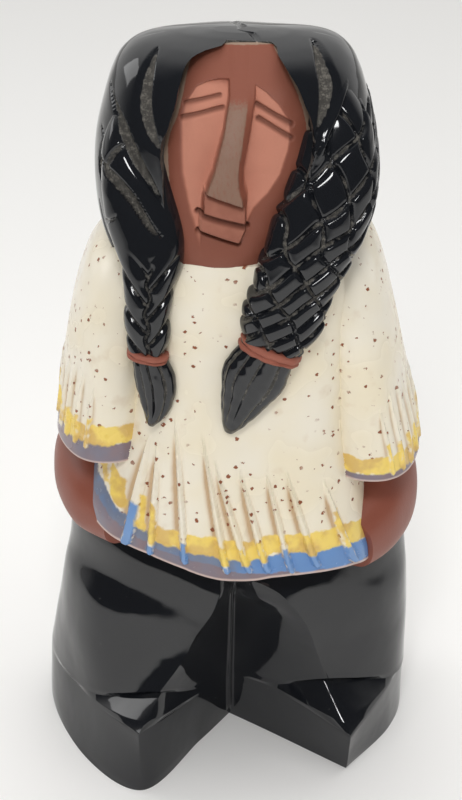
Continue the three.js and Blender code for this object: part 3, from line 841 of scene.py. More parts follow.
@dataclass
class Tie:
    """The band of bare clay round the end of a braid, with a groove between its two cords."""

    side: str
    clay: bpy.types.Material
    middle: tuple[float, float, float]
    half: tuple[float, float]
    height: float
    slant: float

    def build(self) -> bpy.types.Object:
        """The band, a little wider than the braid."""
        up = unit(np.array((self.slant, 0.05, 1.0))) * self.height / 2
        wide, deep = self.half
        stations = []
        for i, (place, grow) in enumerate(((-1.1, -1.6), (-0.85, -0.2), (0, 0.15), (0.85, -0.2), (1.1, -1.6))):
            stations.append((i / 4, *(np.array(self.middle) - up * place), wide + grow, deep + grow))
        form = PulledForm(tuple(stations), 96, 34, 2.3)
        skin, turn, along = form.skin(lambda turn, along: -0.8 * swell(along, 0.52 + 0.08 * np.sin(turn + 1), 0.06))
        skin.press(0.25 * ripple(skin.points, 6, 11))
        skin.marks.update(scoop=0.55 * swell(along, 0.5, 0.3), dust=0 * along, slit=0 * along, edge=0 * along)
        return Clay.finish(Clay.pull(f"{self.side}_tie", skin, self.clay))


@dataclass
class Face:
    """The face and neck of bare clay, carved in flat planes, and the opening that it shows through."""

    columns: int = 290
    rings: int = 260
    squareness: float = 2.8
    low: float = 206.0
    high: float = 285.4
    levels: Track = field(
        default_factory=lambda: Track(
            [
                (206, 12, -33),
                (210, 20, -38.6),
                (217, 27, -40.6),
                (228, 32, -39.8),
                (240, 34, -38),
                (252, 34, -35.4),
                (264, 32, -31),
                (273, 28, -25),
                (280, 25, -16.5),
                (284, 20, -11.5),
                (285.4, 15, -9.5),
            ]
        )
    )
    edges: Track = field(
        default_factory=lambda: Track(
            [
                (207, -14, 6),
                (213.5, -19, 9.3),
                (218.5, -20.1, 10.6),
                (227, -21.4, 13.4),
                (235, -23.1, 17.2),
                (245, -23.8, 21),
                (255, -24.2, 23.4),
                (260, -23.4, 24),
                (266, -20.8, 23),
                (272, -19, 20.8),
                (277, -17.8, 18.1),
                (281.7, -16, 14.7),
                (284, -13.9, 13),
                (285.1, -9.8, 13),
                (285.7, -4.5, 11.6),
                (290, -3, 10),
            ]
        )
    )

    @staticmethod
    def middle(height: Array) -> Array:
        """The middle of the head at a height. It leans to +X as it rises."""
        return -2.4 + (height - 245) * 0.122

    def build(self, clay: bpy.types.Material) -> bpy.types.Object:
        """The face, carved."""
        turn = np.arange(self.columns) * TAU / self.columns
        turn = np.broadcast_to(turn, (self.rings, self.columns))
        height = self.low + (self.high - self.low) * np.linspace(0, 1, self.rings)[:, None] + 0 * turn
        width, front = self.levels(height)
        bent = turn - 0.74 * np.sin(turn) * np.where(np.cos(turn) > -0.2, 1, 0.6)
        x, y = level_cut(bent, (width, width, -front, np.full_like(width, 4)), self.squareness)
        x = x + self.middle(height)
        relief, marks = self.carving(x, height)
        ahead = smoothstep(np.cos(bent), 0.05, 0.3)
        skin = Skin(np.stack((x, y - relief * ahead, height), -1), {k: v * ahead for k, v in marks.items()})
        return Clay.finish(Clay.pull("face", skin, clay), 32)

    def carving(self, x: Array, height: Array) -> tuple[Array, dict[str, Array]]:
        """The carved planes: a wedge for the nose, scooped cheeks, slits and a block for the mouth.

        Args:
            x: Across the face.
            height: Up the face.

        Returns:
            How far each point stands out, and the marks that the bare clay's finish reads.
        """
        axis = np.interp(height, (228, 241, 246, 252, 262, 272), (-5.4, -5.0, -4.6, -3.5, -1.2, 0.5))
        across = x - axis
        nose_base = 241.6 - 0.34 * across
        half = np.interp(height, (239, 241.6, 245, 250, 262, 272, 280), (6.8, 6.5, 5.1, 3.9, 3.2, 3.0, 3.2))
        flank = np.interp(height, (238, 256, 272), (1.8, 2.6, 2.9))
        stands = np.interp(height, (236, 242, 256, 266, 273, 277), (6.4, 6.2, 4.6, 2.6, 0.7, 0.0))
        over = smoothstep(height - nose_base, -0.35, 0.35)
        nose = smoothstep(across + half, -0.8, 0.1) * (1 - np.clip((across - half) / flank, 0, 1))
        stand = stands * over * nose + 0.35 * over * nose * (1 - np.clip(across / half, -1, 1) ** 2)

        brow = np.interp(x, (-20, -17.7, -13.9, -10.5, -6.4, 2), (265, 269.8, 274.7, 276, 276.8, 276.8))
        rim_left = np.interp(
            height, (222, 232.7, 240.2, 248.2, 257, 264, 270, 274.7), (-13, -15.3, -17.3, -18.7, -19, -19, -17.7, -13.9)
        )
        rim_right = np.interp(
            height,
            (226, 230.7, 236.9, 241.6, 247.5, 255.5, 261, 265.2, 269.8, 273.3, 275.2, 277),
            (1, 3.1, 5.8, 10.6, 14.7, 17.4, 18.1, 17.4, 14, 9.9, 6.2, 3),
        )
        left = smoothstep(brow - height, 0.0, 0.8) * (1 - smoothstep(across + half, -0.9, 0.0))
        left = left * smoothstep(x - rim_left, -0.8, 1.2)
        right = smoothstep(rim_right - x, -0.1, 0.9) * smoothstep(across - half - flank, -0.7, 0.0)
        low = smoothstep(height, 217, 235)
        scoop = (left + right) * low
        hollow = low * left * (0.7 + 2.3 * smoothstep(x - rim_left, 0, 12))
        hollow = hollow + low * right * (0.7 + 2.5 * smoothstep(rim_right - x, 0, 10))

        slit_one, slit_two = 235.3 - 0.27 * (x + 13.6), 228.8 - 0.32 * (x + 13.6)
        upper = smoothstep(x, -11.8, -11.2) * (1 - smoothstep(x, 2.4, 3.2)) * smoothstep(nose_base - height, -0.4, 0.2)
        upper = upper * smoothstep(height - slit_one, -0.3, 0.3)
        corner = 0.3 + 2.8 * np.clip((height - slit_two) / (slit_one - slit_two), 0, 1)
        lower = smoothstep(x, -13.4, -12.8) * (1 - smoothstep(x - corner, -0.3, 0.4))
        lower = lower * smoothstep(height - slit_two, -0.5, 0.4) * smoothstep(slit_one - height, -0.3, 0.3)
        mouth = 2.5 * upper + 2.3 * lower + 0.5 * (upper + lower) * swell(x, -5, 6)
        chin = 1.1 * swell(x, -4.5, 9) * swell(height, 217, 5)

        slits = np.zeros_like(x)
        for start, end, wide, deep in (
            ((-17.7, 269.5), (-6.1, 271.5), 0.72, 1.2),
            ((-18.7, 265.3), (-5.1, 268.0), 0.78, 1.3),
            ((6.4, 269.1), (18.0, 263.5), 0.88, 1.5),
            ((7.0, 264.8), (18.0, 259.1), 0.88, 1.5),
            ((-13.6, 235.3), (3.1, 230.8), 0.88, 2.0),
            ((-13.4, 228.8), (0.1, 224.4), 0.85, 1.8),
        ):
            slits = np.maximum(slits, deep * Face.groove(x, height, start, end, wide))
        # The hollow under the nose: it is cut into the relief, and it is also darkened as painted shade.
        under = nose * swell(nose_base - height, 1.0, 0.9) * smoothstep(half - across, -0.8, 0.2)
        points = np.stack((x, np.zeros_like(x), height), -1)
        left_edge, right_edge = self.edges(height)
        margin = np.minimum(x - left_edge, right_edge - x)
        margin = np.minimum(margin, (285.2 - height) * 1.6)
        marks = {
            "scoop": np.clip(scoop * (1 - 0.25 * nose) + 0.4 * np.maximum(upper, lower), 0, 1),
            "dust": np.clip(over * nose * smoothstep(height, 275, 268) * (1 - smoothstep(across - half, 0, 0.8)), 0, 1),
            # This mark paints shade into the slits and under the nose.
            "slit": np.clip(slits / 1.4 + under, 0, 1),
            "edge": 1 - smoothstep(margin, 0.2, 1.1),
        }
        return stand + mouth + chin - hollow - slits - 0.8 * under + 0.12 * ripple(points, 9, 8), marks

    @staticmethod
    def groove(x: Array, z: Array, start: tuple[float, float], end: tuple[float, float], wide: float) -> Array:
        """A straight slit with round ends, from 0 outside to 1 at its bottom."""
        a, b = np.array(start), np.array(end)
        way = (b - a) / np.linalg.norm(b - a)
        along = (x - a[0]) * way[0] + (z - a[1]) * way[1]
        off = (z - a[1]) * way[0] - (x - a[0]) * way[1]
        length = np.linalg.norm(b - a)
        past = np.maximum(np.maximum(-along, along - length), 0)
        return np.exp(-((np.hypot(off, past) / wide) ** 3))

    def opening(self, glaze: bpy.types.Material) -> bpy.types.Object:
        """The space in front of the face, as far as just behind the face's surface."""
        rings, around, reach, taper = 150, 240, 60.0, 0.12
        turn = np.broadcast_to(np.arange(around) * TAU / around, (rings, around))
        low, high = 207.0, 290.0
        height = low + (high - low) * np.linspace(0, 1, rings)[:, None] + 0 * turn
        left, right = self.edges(height)
        width, front = self.levels(height)
        middle, half = (left + right) / 2, (right - left) / 2
        ones = np.ones_like(half)
        across, behind = level_cut(turn, (ones, ones, ones, ones), 6)
        ahead = reach * ((1 - behind) / 2) ** 3
        fall = 1 - np.minimum(np.abs(middle + across * half - self.middle(height)) / width, 0.98) ** self.squareness
        back = front * fall ** (1 / self.squareness) + np.interp(height, (268, 281, 290), (7, 2, 0))
        back = np.minimum(back, -9.5)
        ragged = 0.3 * ripple(np.stack((across * 30, ahead, height), -1), 8, 4)
        skin = Skin(np.stack((middle + across * (half + taper * ahead + ragged), back - ahead, height), -1))
        rim = np.interp(height, (268, 281, 290), (7, 2, 0))
        skin.marks["dry"] = 1 - smoothstep(ahead - rim, 0.6, 2.2)
        return Clay.pull("opening", skin, glaze)


@dataclass(frozen=True)
class Strip:
    """One raised strip of a fringe, in millimetres.

    Its place at its foot and at its head, how high over the hem its head and its foot are, half its
    width, and how far up from its foot it is blue and then yellow.
    """

    foot: float
    head: float
    rise: float
    half: float = 1.7
    start: float = 4.0
    blue: float = 6.0
    yellow: float = 12.0


@dataclass(frozen=True)
class Fringe:
    """A row of strips, and the bands painted across them."""

    strips: tuple[Strip, ...]

    def lay(self, place: Array, up: Array, here: Array | float = 1.0) -> dict[str, Array]:
        """Where the strips stand, and what they do to the paint.

        Args:
            place: The distance along the hem.
            up: The height over the hem.
            here: 1 where the strips may stand and 0 where they may not.

        Returns:
            The strips' height from 0 to 1, the tan wash with painted shade beside them, heavier on their left, and how
            far inside a strip, its blue and its yellow each point lies, in millimetres.
        """
        strip, wash = np.zeros_like(up), np.zeros_like(up)
        inside, blue, yellow = (np.full_like(up, -9.0) for _ in range(3))
        for s in self.strips:
            t = (up - s.start) / (s.rise - s.start)
            line = s.foot + (s.head - s.foot) * np.clip(t, 0, 1) ** 0.85
            toe = np.sqrt(1 - np.clip((s.half - (up - s.start)) / s.half, 0, 1) ** 2)
            half = s.half * (1 - np.clip(t, 0, 1) ** 2) ** 0.8 * toe
            off = place - line
            within = np.minimum(half - np.abs(off), np.minimum(up - s.start, s.rise - up))
            within = np.where(here > 0, np.maximum(within, -9), -9)
            painted = s.start + s.blue
            blue = np.maximum(blue, np.minimum(within, painted - up))
            yellow = np.maximum(yellow, np.minimum(within, np.minimum(up - painted, painted + s.yellow - up)))
            inside = np.maximum(inside, within)
            strip = np.maximum(strip, smoothstep(within, -0.35, 0.75))
            fade = smoothstep(t, -0.1, 0.15) * (1 - smoothstep(t, 0.6, 1.02)) * here
            # Tan wash and painted shade beside each strip, stronger and wider on its left than on its right.
            beside = swell(off + half + 0.5, 0, 0.7) + 0.55 * swell(off + half + 1.6, 0, 1.6)
            beside = beside + 0.6 * swell(off - half - 0.5, 0, 0.6)
            wash = np.maximum(wash, beside * fade)
        wash = np.clip(wash, 0, 1) * (1 - strip)
        return {"strip": strip, "wash": wash, "inside": inside, "blue": blue, "yellow": yellow}


@dataclass
class Shirt:
    """The glazed shirt: a flared body with a fringe, and two bell sleeves."""

    glaze: bpy.types.Material
    collar: float = 216
    hem_back: float = 98
    relief: float = 1.4
    squareness: float = 3.4
    levels: Track = field(
        default_factory=lambda: Track(
            [
                (0, 58, 53.5, 52.2, 47),
                (0.06, 57, 53, 52.8, 47),
                (0.2, 49, 48.5, 49.5, 45),
                (0.42, 42, 43.5, 46.5, 43),
                (0.68, 42, 43, 45.5, 42),
                (0.86, 44, 43, 44.4, 41),
                (0.95, 38, 38, 43.4, 38),
                (1, 28, 28, 41.6, 34),
            ]
        )
    )
    hems: Track = field(
        default_factory=lambda: Track(
            [
                (-1, 112),
                (-0.74, 107),
                (-0.4, 102.8),
                (-0.19, 98.2),
                (-0.05, 93.6),
                (0, 92.4),
                (0.1, 93.9),
                (0.4, 94.5),
                (0.7, 93.3),
                (1, 88),
            ]
        )
    )
    front: Fringe = Fringe(
        (
            Strip(-41.6, -31.5, 43, 1.9, 0.3, 17, 0),
            Strip(-32.2, -28.5, 43, 1.25, 0.6, 5, 14),
            Strip(-19.2, -22, 56, 1.2, 3.0, 8.5, 0),
            Strip(-3.5, -12.4, 55, 1.3, 3.7, 3.5, 7),
            Strip(5, -8.4, 48, 1.3, 4.0, 3.5, 7),
            Strip(11.8, 0.7, 46, 1.3, 2.8, 5, 8),
            Strip(20.5, 10.2, 44, 1.2, 1.4, 11, 0),
            Strip(30, 17.3, 43, 1.4, 2.8, 6, 8),
            Strip(44, 31.5, 36, 1.5, 1.6, 8, 14),
        )
    )
    back: Fringe = Fringe(
        (
            Strip(-40, -33, 30, 1.8),
            Strip(-29, -24, 36, 1.6),
            Strip(-16, -14, 40, 1.7),
            Strip(-4, -3, 34, 1.5),
            Strip(8, 6, 38, 1.8),
            Strip(19, 16, 34, 1.6),
            Strip(31, 26, 38, 1.7),
            Strip(43, 36, 30, 1.9),
        )
    )

    def hem(self, turn: Array) -> Array:
        """Height of the hem round the figure. It hangs lower to the viewer's right."""
        front = self.hems(np.sin(turn))[0]
        return self.hem_back + (front - self.hem_back) * smoothstep(np.cos(turn), -0.4, 0.25)

    def build(self) -> bpy.types.Object:
        """The shirt's body and sleeves, fused."""
        shirt = Clay.pull("shirt", self._body(), self.glaze)
        Clay.join(shirt, Clay.pull("sleeve", Sleeve(-1).skin(), self.glaze), Joining.FUSE)
        Clay.join(shirt, Clay.pull("sleeve", Sleeve(1).skin(), self.glaze), Joining.FUSE)
        return Clay.finish(shirt)

    def _turns(self, count: int) -> Array:
        """Turns that lie evenly along the outline, closer together in front."""
        fine = np.linspace(-TAU / 2, TAU / 2, 60001)
        x, y = level_cut(fine, self.levels(0 * fine), self.squareness)
        step = np.hypot(np.diff(x), np.diff(y)) * (1 + 1.3 * smoothstep(np.cos(fine[1:]), -0.2, 0.4))
        total = np.concatenate(([0.0], np.cumsum(step)))
        return np.interp(np.arange(count) / count * total[-1], total, fine)

    def _body(self) -> Skin:
        """The body, with its fringe and the edges of its painted bands."""
        columns, rings = 430, 150
        turn = np.broadcast_to(np.roll(self._turns(columns), -columns // 2) % TAU, (rings, columns))
        share = np.linspace(0, 1, rings)[:, None] + 0 * turn
        rise = 0.35 * share + 0.65 * share**2
        left, right, front, back = self.levels(rise)
        hem = self.hem(turn)
        height = hem + (self.collar - hem) * rise
        x, y = level_cut(turn, (left, right, front, back), self.squareness)
        skin = Skin(np.stack((x, y, height), -1))
        skin.press(0.4 * ripple(skin.points, 40, 21))
        up = height - hem
        ahead = (y < 0) * 1.0
        parts = (self.front.lay(x, up, ahead), self.back.lay(x, up, 1 - ahead))
        strip, wash, inside, blue_strip, yellow_strip = (np.maximum(parts[0][k], parts[1][k]) for k in parts[0])
        skin.press(self.relief * strip - 0.6 * wash)
        low = np.interp(x, (-50, -36, -30, -19, -9, 3, 17, 44), (13, 10, 7.4, 8.4, 10, 8.6, 10, 9.7))
        high = np.interp(x, (-31, -29, -19, -9, 44), (12, 13.2, 15.4, 17, 17.6))
        band = np.minimum(np.minimum(up - low, high - up), np.where(y < 0, x + 30.6, 9.0))
        for middle, half, foot, head in ((-43.4, 2.9, 12, 21.5), (-35.4, 2.4, 9, 20.7), (-49.4, 2.0, 15, 23)):
            reach = half - np.hypot(x - middle, np.maximum(foot + half - up, 0))
            band = np.maximum(band, np.minimum(reach, head - up))
        blue_low = np.interp(x, (-50, -30, -19, -9, 0, 10, 20, 30), (9, 4.6, 5.8, 6.2, 4.5, 2.5, 1.3, 0.8))
        skin.marks.update(
            rise=up,
            strip=strip,
            wash=wash,
            clay=np.minimum(low + 0.6 - up, 0.2 - inside),
            blue=np.maximum(blue_strip, np.minimum(np.minimum(up - blue_low, low + 0.8 - up), 0.2 - inside)),
            yellow=np.maximum(yellow_strip, np.minimum(band, 0.2 - inside)),
            vivid=np.maximum(smoothstep(x, -14, 24), smoothstep(blue_strip, -0.3, 0.3)),
        )
        return skin


@dataclass
class Sleeve:
    """One bell sleeve, with strips on its outer side. The side is -1 on the viewer's left."""

    side: int

    def skin(self) -> Skin:
        """The sleeve from its rim up to the shoulder."""
        rim = 135.5 if self.side < 0 else 128.0
        levels = Track(self._left(rim) if self.side < 0 else self._right(rim))
        columns, rings = 220, 110
        turn = np.broadcast_to(np.arange(columns) * TAU / columns, (rings, columns))
        top = 215 if self.side < 0 else 217
        height = rim + (top - rim) * np.linspace(0, 1, rings)[:, None] + 0 * turn
        outer, inner, front, back = levels(height)
        reach, depth = (outer - inner) / 2, (back - front) / 2
        x, y = level_cut(turn, (reach, reach, depth, depth), 2.3)
        skin = Skin(np.stack((self.side * (outer + inner) / 2 + x, y + (front + back) / 2, height), -1))
        skin.press(0.35 * ripple(skin.points, 36, 23))
        up = height - rim
        out = np.where(turn > math.pi, turn - TAU, turn) * self.side
        parts = self._fringe().lay(out * 26, up)
        strip, wash, inside = parts["strip"], parts["wash"], parts["inside"]
        skin.press(0.8 * strip - 0.4 * wash)
        low, high = (7.5, 15.0) if self.side < 0 else (2.6, 9.5)
        skin.marks.update(
            rise=up + 0.3,
            strip=strip,
            wash=0.7 * wash,
            clay=np.minimum(low + 0.5 - up, 0.2 - inside),
            blue=np.full_like(up, -4.0),
            yellow=np.maximum(parts["yellow"], np.minimum(np.minimum(up - low, high - up), 0.2 - inside)),
            vivid=0 * up,
        )
        return skin

    def _fringe(self) -> Fringe:
        """The strips round the outer side."""
        rises = (31, 37, 40, 36, 33, 30, 26, 22)
        places = (9.0, 15.5, 22.0, 28.5, 35.5, 43, 51, 60)
        start, yellow = (5.0, 12.5) if self.side < 0 else (1.5, 13.0)
        return Fringe(tuple(Strip(p, p - 2.5, r, 1.15, start, 0.0, yellow) for p, r in zip(places, rises)))

    @staticmethod
    def _left(rim: float) -> list[tuple[float, ...]]:
        """The left sleeve, as height, outer x, inner x, front y and back y."""
        return [
            (rim, 67.4, 28, -39.5, 38),
            (147, 66.4, 28, -39, 38),
            (161, 64.6, 28, -38.4, 38),
            (172, 62.6, 27, -38, 38),
            (186, 59.8, 25, -36.5, 37),
            (197, 56.6, 22, -34, 35),
            (205, 53.2, 20, -30, 32),
            (211, 47.4, 20, -24, 27),
            (215, 38, 22, -16, 20),
        ]

    @staticmethod
    def _right(rim: float) -> list[tuple[float, ...]]:
        """The right sleeve, in the same way."""
        return [
            (rim, 69, 30, -40, 38),
            (137, 68, 30, -39.6, 38),
            (152, 64.6, 29, -39, 38),
            (169, 60.8, 28, -38, 38),
            (184, 57.4, 26, -36.5, 37),
            (198, 54, 23, -34, 35),
            (208, 50, 20, -29, 32),
            (213, 45.6, 20, -23, 27),
            (217, 37, 22, -15, 20),
        ]


@dataclass
class Trousers:
    """The wide trousers and the pointed boots, with the raised seam between the legs."""

    levels: tuple[tuple[float, ...], ...] = (
        (0, 0, 0, -3, -12, 41.6, -46, -36, -59, 65, 74, 45),
        (1.6, 1.6, 1.6, -3, -13, 43, -48, -36.6, -60.6, 66.4, 76, 46.4),
        (18.5, 25.5, 22.5, -2.8, -16, 44, -51, -37.6, -58.5, 66.8, 75.2, 46),
        (33.5, 35.5, 25, -2.7, -16, 34, -33.5, -29, -45.5, 66.8, 75, 46),
        (35.5, 38, 27, -2.7, -16, 35, -36.5, -29.4, -48, 66.8, 74.8, 45.8),
        (49, 50, 48, -2.2, -17, 31, -39, -20.8, -45, 67.4, 71, 44),
        (64.5, 60, 65, -1.9, -22, 26.2, -41, -15.8, -43, 67, 68, 43),
        (79, 70, 76, -1.4, -28, 16.8, -42.5, -9.5, -42, 66, 65.5, 42),
        (86, 78, 88, -1.1, -31, 6, -42.3, -6.7, -41.5, 65, 64.5, 42),
        (118, 118, 118, -1, -30, 6, -40, -6, -24, 50, 52, 36),
    )
    cuff_row: int = 5
    creases: tuple[int, ...] = (2, 3, 4, 8)
    rings_per_row: tuple[int, ...] = (4, 30, 40, 5, 22, 18, 16, 10, 14)
    columns_per_key: int = 26
    edge: float = 0.075

    def _keys(self) -> Array:
        """Twelve points round each level: the groove, the ridges, the boots' corners, sides and back."""
        corners = (((61.5, -21, 0), (15, -26, 0)), ((-57.6, -31, 7), (-13.8, -28.5, 2)))
        rows = []
        for row, (toe_right, toe_left, rest, gx, gy, rx, ry, lx, ly, right, left, back) in enumerate(self.levels):
            lean = min(max(1 - rest / 24, 0), 1)
            above = min(max((row - self.cuff_row + 1) / 3, 0), 1)

            def corner(fixed: tuple[float, float, float], free_x: float, free_y: float) -> tuple[float, float, float]:
                """A boot's corner, which turns into a free point of the leg higher up."""
                x, y, out = fixed
                x, y = x + math.copysign(1, x) * out * lean * 0.5, y - out * lean
                return x + (free_x - x) * above, y + (free_y - y) * above, rest

            (right_outer, right_inner), (left_outer, left_inner) = corners
            rows.append(
                (
                    (gx, gy, rest),
                    corner(right_inner, gx + 0.42 * (rx - gx), gy + 0.72 * (ry - gy)),
                    (rx, ry, toe_right),
                    corner(right_outer, (rx + right) / 2 + 8, 0.75 * ry + 6),
                    (right, 3, rest),
                    (right * 0.8, back * 0.72, rest),
                    ((right - left) / 2, back, rest),
                    (-left * 0.8, back * 0.72, rest),
                    (-left, 4, rest),
                    corner(left_outer, (lx - left) / 2 - 9.5, 0.75 * ly + 5),
                    (lx, ly, toe_left),
                    corner(left_inner, gx + 0.42 * (lx - gx), gy + 0.72 * (ly - gy)),
                )
            )
        return np.array(rows, float)

    def _rows(self) -> Array:
        """Where each ring lies between the levels, closer together at the boots' upper edge."""
        parts = []
        for i, count in enumerate(self.rings_per_row):
            t = np.arange(count) / count
            t = 1 - (1 - t) ** 1.5 if i == 1 else t**1.6 if i == 2 else t
            parts.append(i + t)
        return np.concatenate([*parts, [len(self.rings_per_row)]])

    def _between_levels(self, keys: Array, rows: Array) -> Array:
        """The twelve points at each ring, smooth up the legs but for the creases."""
        i = np.clip(np.floor(rows).astype(int), 0, len(keys) - 2)
        t = (rows - i)[:, None, None]

        def slope(at: Array, other: Array) -> Array:
            """The slope at a level, one-sided at a crease."""
            low, high = np.maximum(at - 1, 0), np.minimum(at + 1, len(keys) - 1)
            free = (keys[high] - keys[low]) / (high - low)[:, None, None]
            tight = (keys[other] - keys[at]) * np.sign(other - at)[:, None, None]
            return np.where(np.isin(at, self.creases)[:, None, None], tight, free)

        return hermite(t, keys[i], keys[i + 1], slope(i, i + 1), slope(i + 1, i))

    def _rounded(self, keys: Array, rows: Array) -> Array:
        """The twelve points at each ring, with the boots' upper edge worn round."""
        below, above, crease = 2 - self.edge, 2 + self.edge * 0.5, 2.0
        plain = self._between_levels(keys, rows)
        ends = self._between_levels(keys, np.array((below, crease, above)))
        t = np.clip((rows - below) / (above - below), 0, 1)[:, None, None]
        bow = (1 - t) ** 2 * ends[0] + 2 * t * (1 - t) * ends[1] + t**2 * ends[2]
        return np.where((rows > below)[:, None, None] & (rows < above)[:, None, None], bow, plain)

    def skin(self) -> Skin:
        """The legs and boots as one skin."""
        rows = self._rows()
        keys = self._rounded(self._keys(), rows)
        per = self.columns_per_key
        columns = []
        for key in range(12):
            t = np.arange(per) / per
            t = t**1.5 if key == 0 else 1 - (1 - t) ** 1.5 if key == 11 else t
            a, b = keys[:, key], keys[:, (key + 1) % 12]
            sharp_a = self._sharpness(key, rows)
            sharp_b = self._sharpness((key + 1) % 12, rows)
            leave = sharp_a * (b - a) + (1 - sharp_a) * (b - keys[:, key - 1]) / 2
            arrive = sharp_b * (b - a) + (1 - sharp_b) * (keys[:, (key + 2) % 12] - a) / 2
            columns.append(
                hermite(t[None, :, None], a[:, None], b[:, None], leave[:, None], arrive[:, None])
            )
        skin = Skin(np.concatenate(columns, axis=1))
        return self._carve(skin)

    @staticmethod
    def _sharpness(key: int, rows: Array) -> Array:
        """How sharp an edge each key is, from 0 to 1: the groove, the ridges and the toes are."""
        if key == 0:
            return np.ones((len(rows), 1))
        if key == 2:
            return np.interp(rows, (0, 2, 2.3, 3, 4, 5.2), (1, 1, 0.25, 0.3, 0.35, 1))[:, None]
        if key == 10:
            return np.interp(rows, (0, 1.1, 2, 2.3, 3, 4, 5), (0, 0, 1, 0.35, 0.75, 0.8, 1))[:, None]
        return np.zeros((len(rows), 1))

    def _carve(self, skin: Skin) -> Skin:
        """Adds the raised seam and the unevenness of the modelled clay."""
        points = skin.points
        seam_x = points[:, :1, 0]
        seam = swell(points[..., 0] - seam_x, 0, 0.8) * (points[..., 1] < 0) * smoothstep(points[..., 2], 1.5, 6)
        soft = smoothstep(points[..., 2], 0.5, 12)
        skin.press((0.2 * ripple(points, 38, 31) + 0.07 * ripple(points, 15, 33)) * soft)
        skin.points[..., 1] -= 1.5 * seam
        skin.points[..., 2] = np.where(points[..., 2] < 0.01, 0, np.maximum(skin.points[..., 2], 0))
        skin.marks["dry"] = 0 * seam
        return skin

    def build(self, glaze: bpy.types.Material) -> bpy.types.Object:
        """The trousers and boots."""
        return Clay.finish(Clay.pull("trousers_and_boots", self.skin(), glaze), 30)


@dataclass
class Forearms:
    """The two forearms, which end in the pockets."""

    left: PulledForm = PulledForm(
        (
            (0, -50, 26, 114, 7, 8),
            (0.15, -54, 18, 112, 14, 15),
            (0.5, -55.6, -2, 110.5, 14.4, 15.6),
            (0.8, -51.5, -20, 109, 13, 14.4),
            (1, -42, -34, 107, 9, 10),
        ),
        96,
        80,
        2.2,
        (0, 0, 1),
    )
    right: PulledForm = PulledForm(
        (
            (0, 50, 26, 106, 7, 9),
            (0.15, 53, 18, 104, 14, 17),
            (0.5, 55, -2, 102, 14.6, 18.6),
            (0.8, 50.6, -18, 99, 13.6, 17.6),
            (1, 43, -32, 96, 9, 12),
        ),
        96,
        80,
        2.2,
        (0, 0, 1),
    )

    def build(self, clay: bpy.types.Material) -> list[bpy.types.Object]:
        """Both forearms."""
        arms = []
        for name, form in (("left_forearm", self.left), ("right_forearm", self.right)):
            skin, _, along = form.skin()
            skin.press(0.3 * ripple(skin.points, 22, 41))
            skin.marks.update({mark: 0 * along for mark in ("scoop", "dust", "slit", "edge")})
            arms.append(Clay.finish(Clay.pull(name, skin, clay)))
        return arms


@dataclass(frozen=True)
class View:
    """The photograph's view: a camera that looks down on the front."""

    target: tuple[float, float, float] = (0.00086, -0.0037, 0.145)
    distance: float = 0.8
    elevation: float = 30.0
    lens: float = 96.48

    def build(self) -> None:
        """Adds the camera."""
        rise = math.radians(self.elevation)
        aim = Vector(self.target)
        away = Vector((0, -math.cos(rise), math.sin(rise))) * self.distance
        bpy.ops.object.camera_add(location=aim + away)
        camera = bpy.context.object
        camera.rotation_euler = (-away).to_track_quat("-Z", "Y").to_euler()
        camera.data.lens = self.lens
        camera.data.clip_start = 0.01
        bpy.context.scene.camera = camera


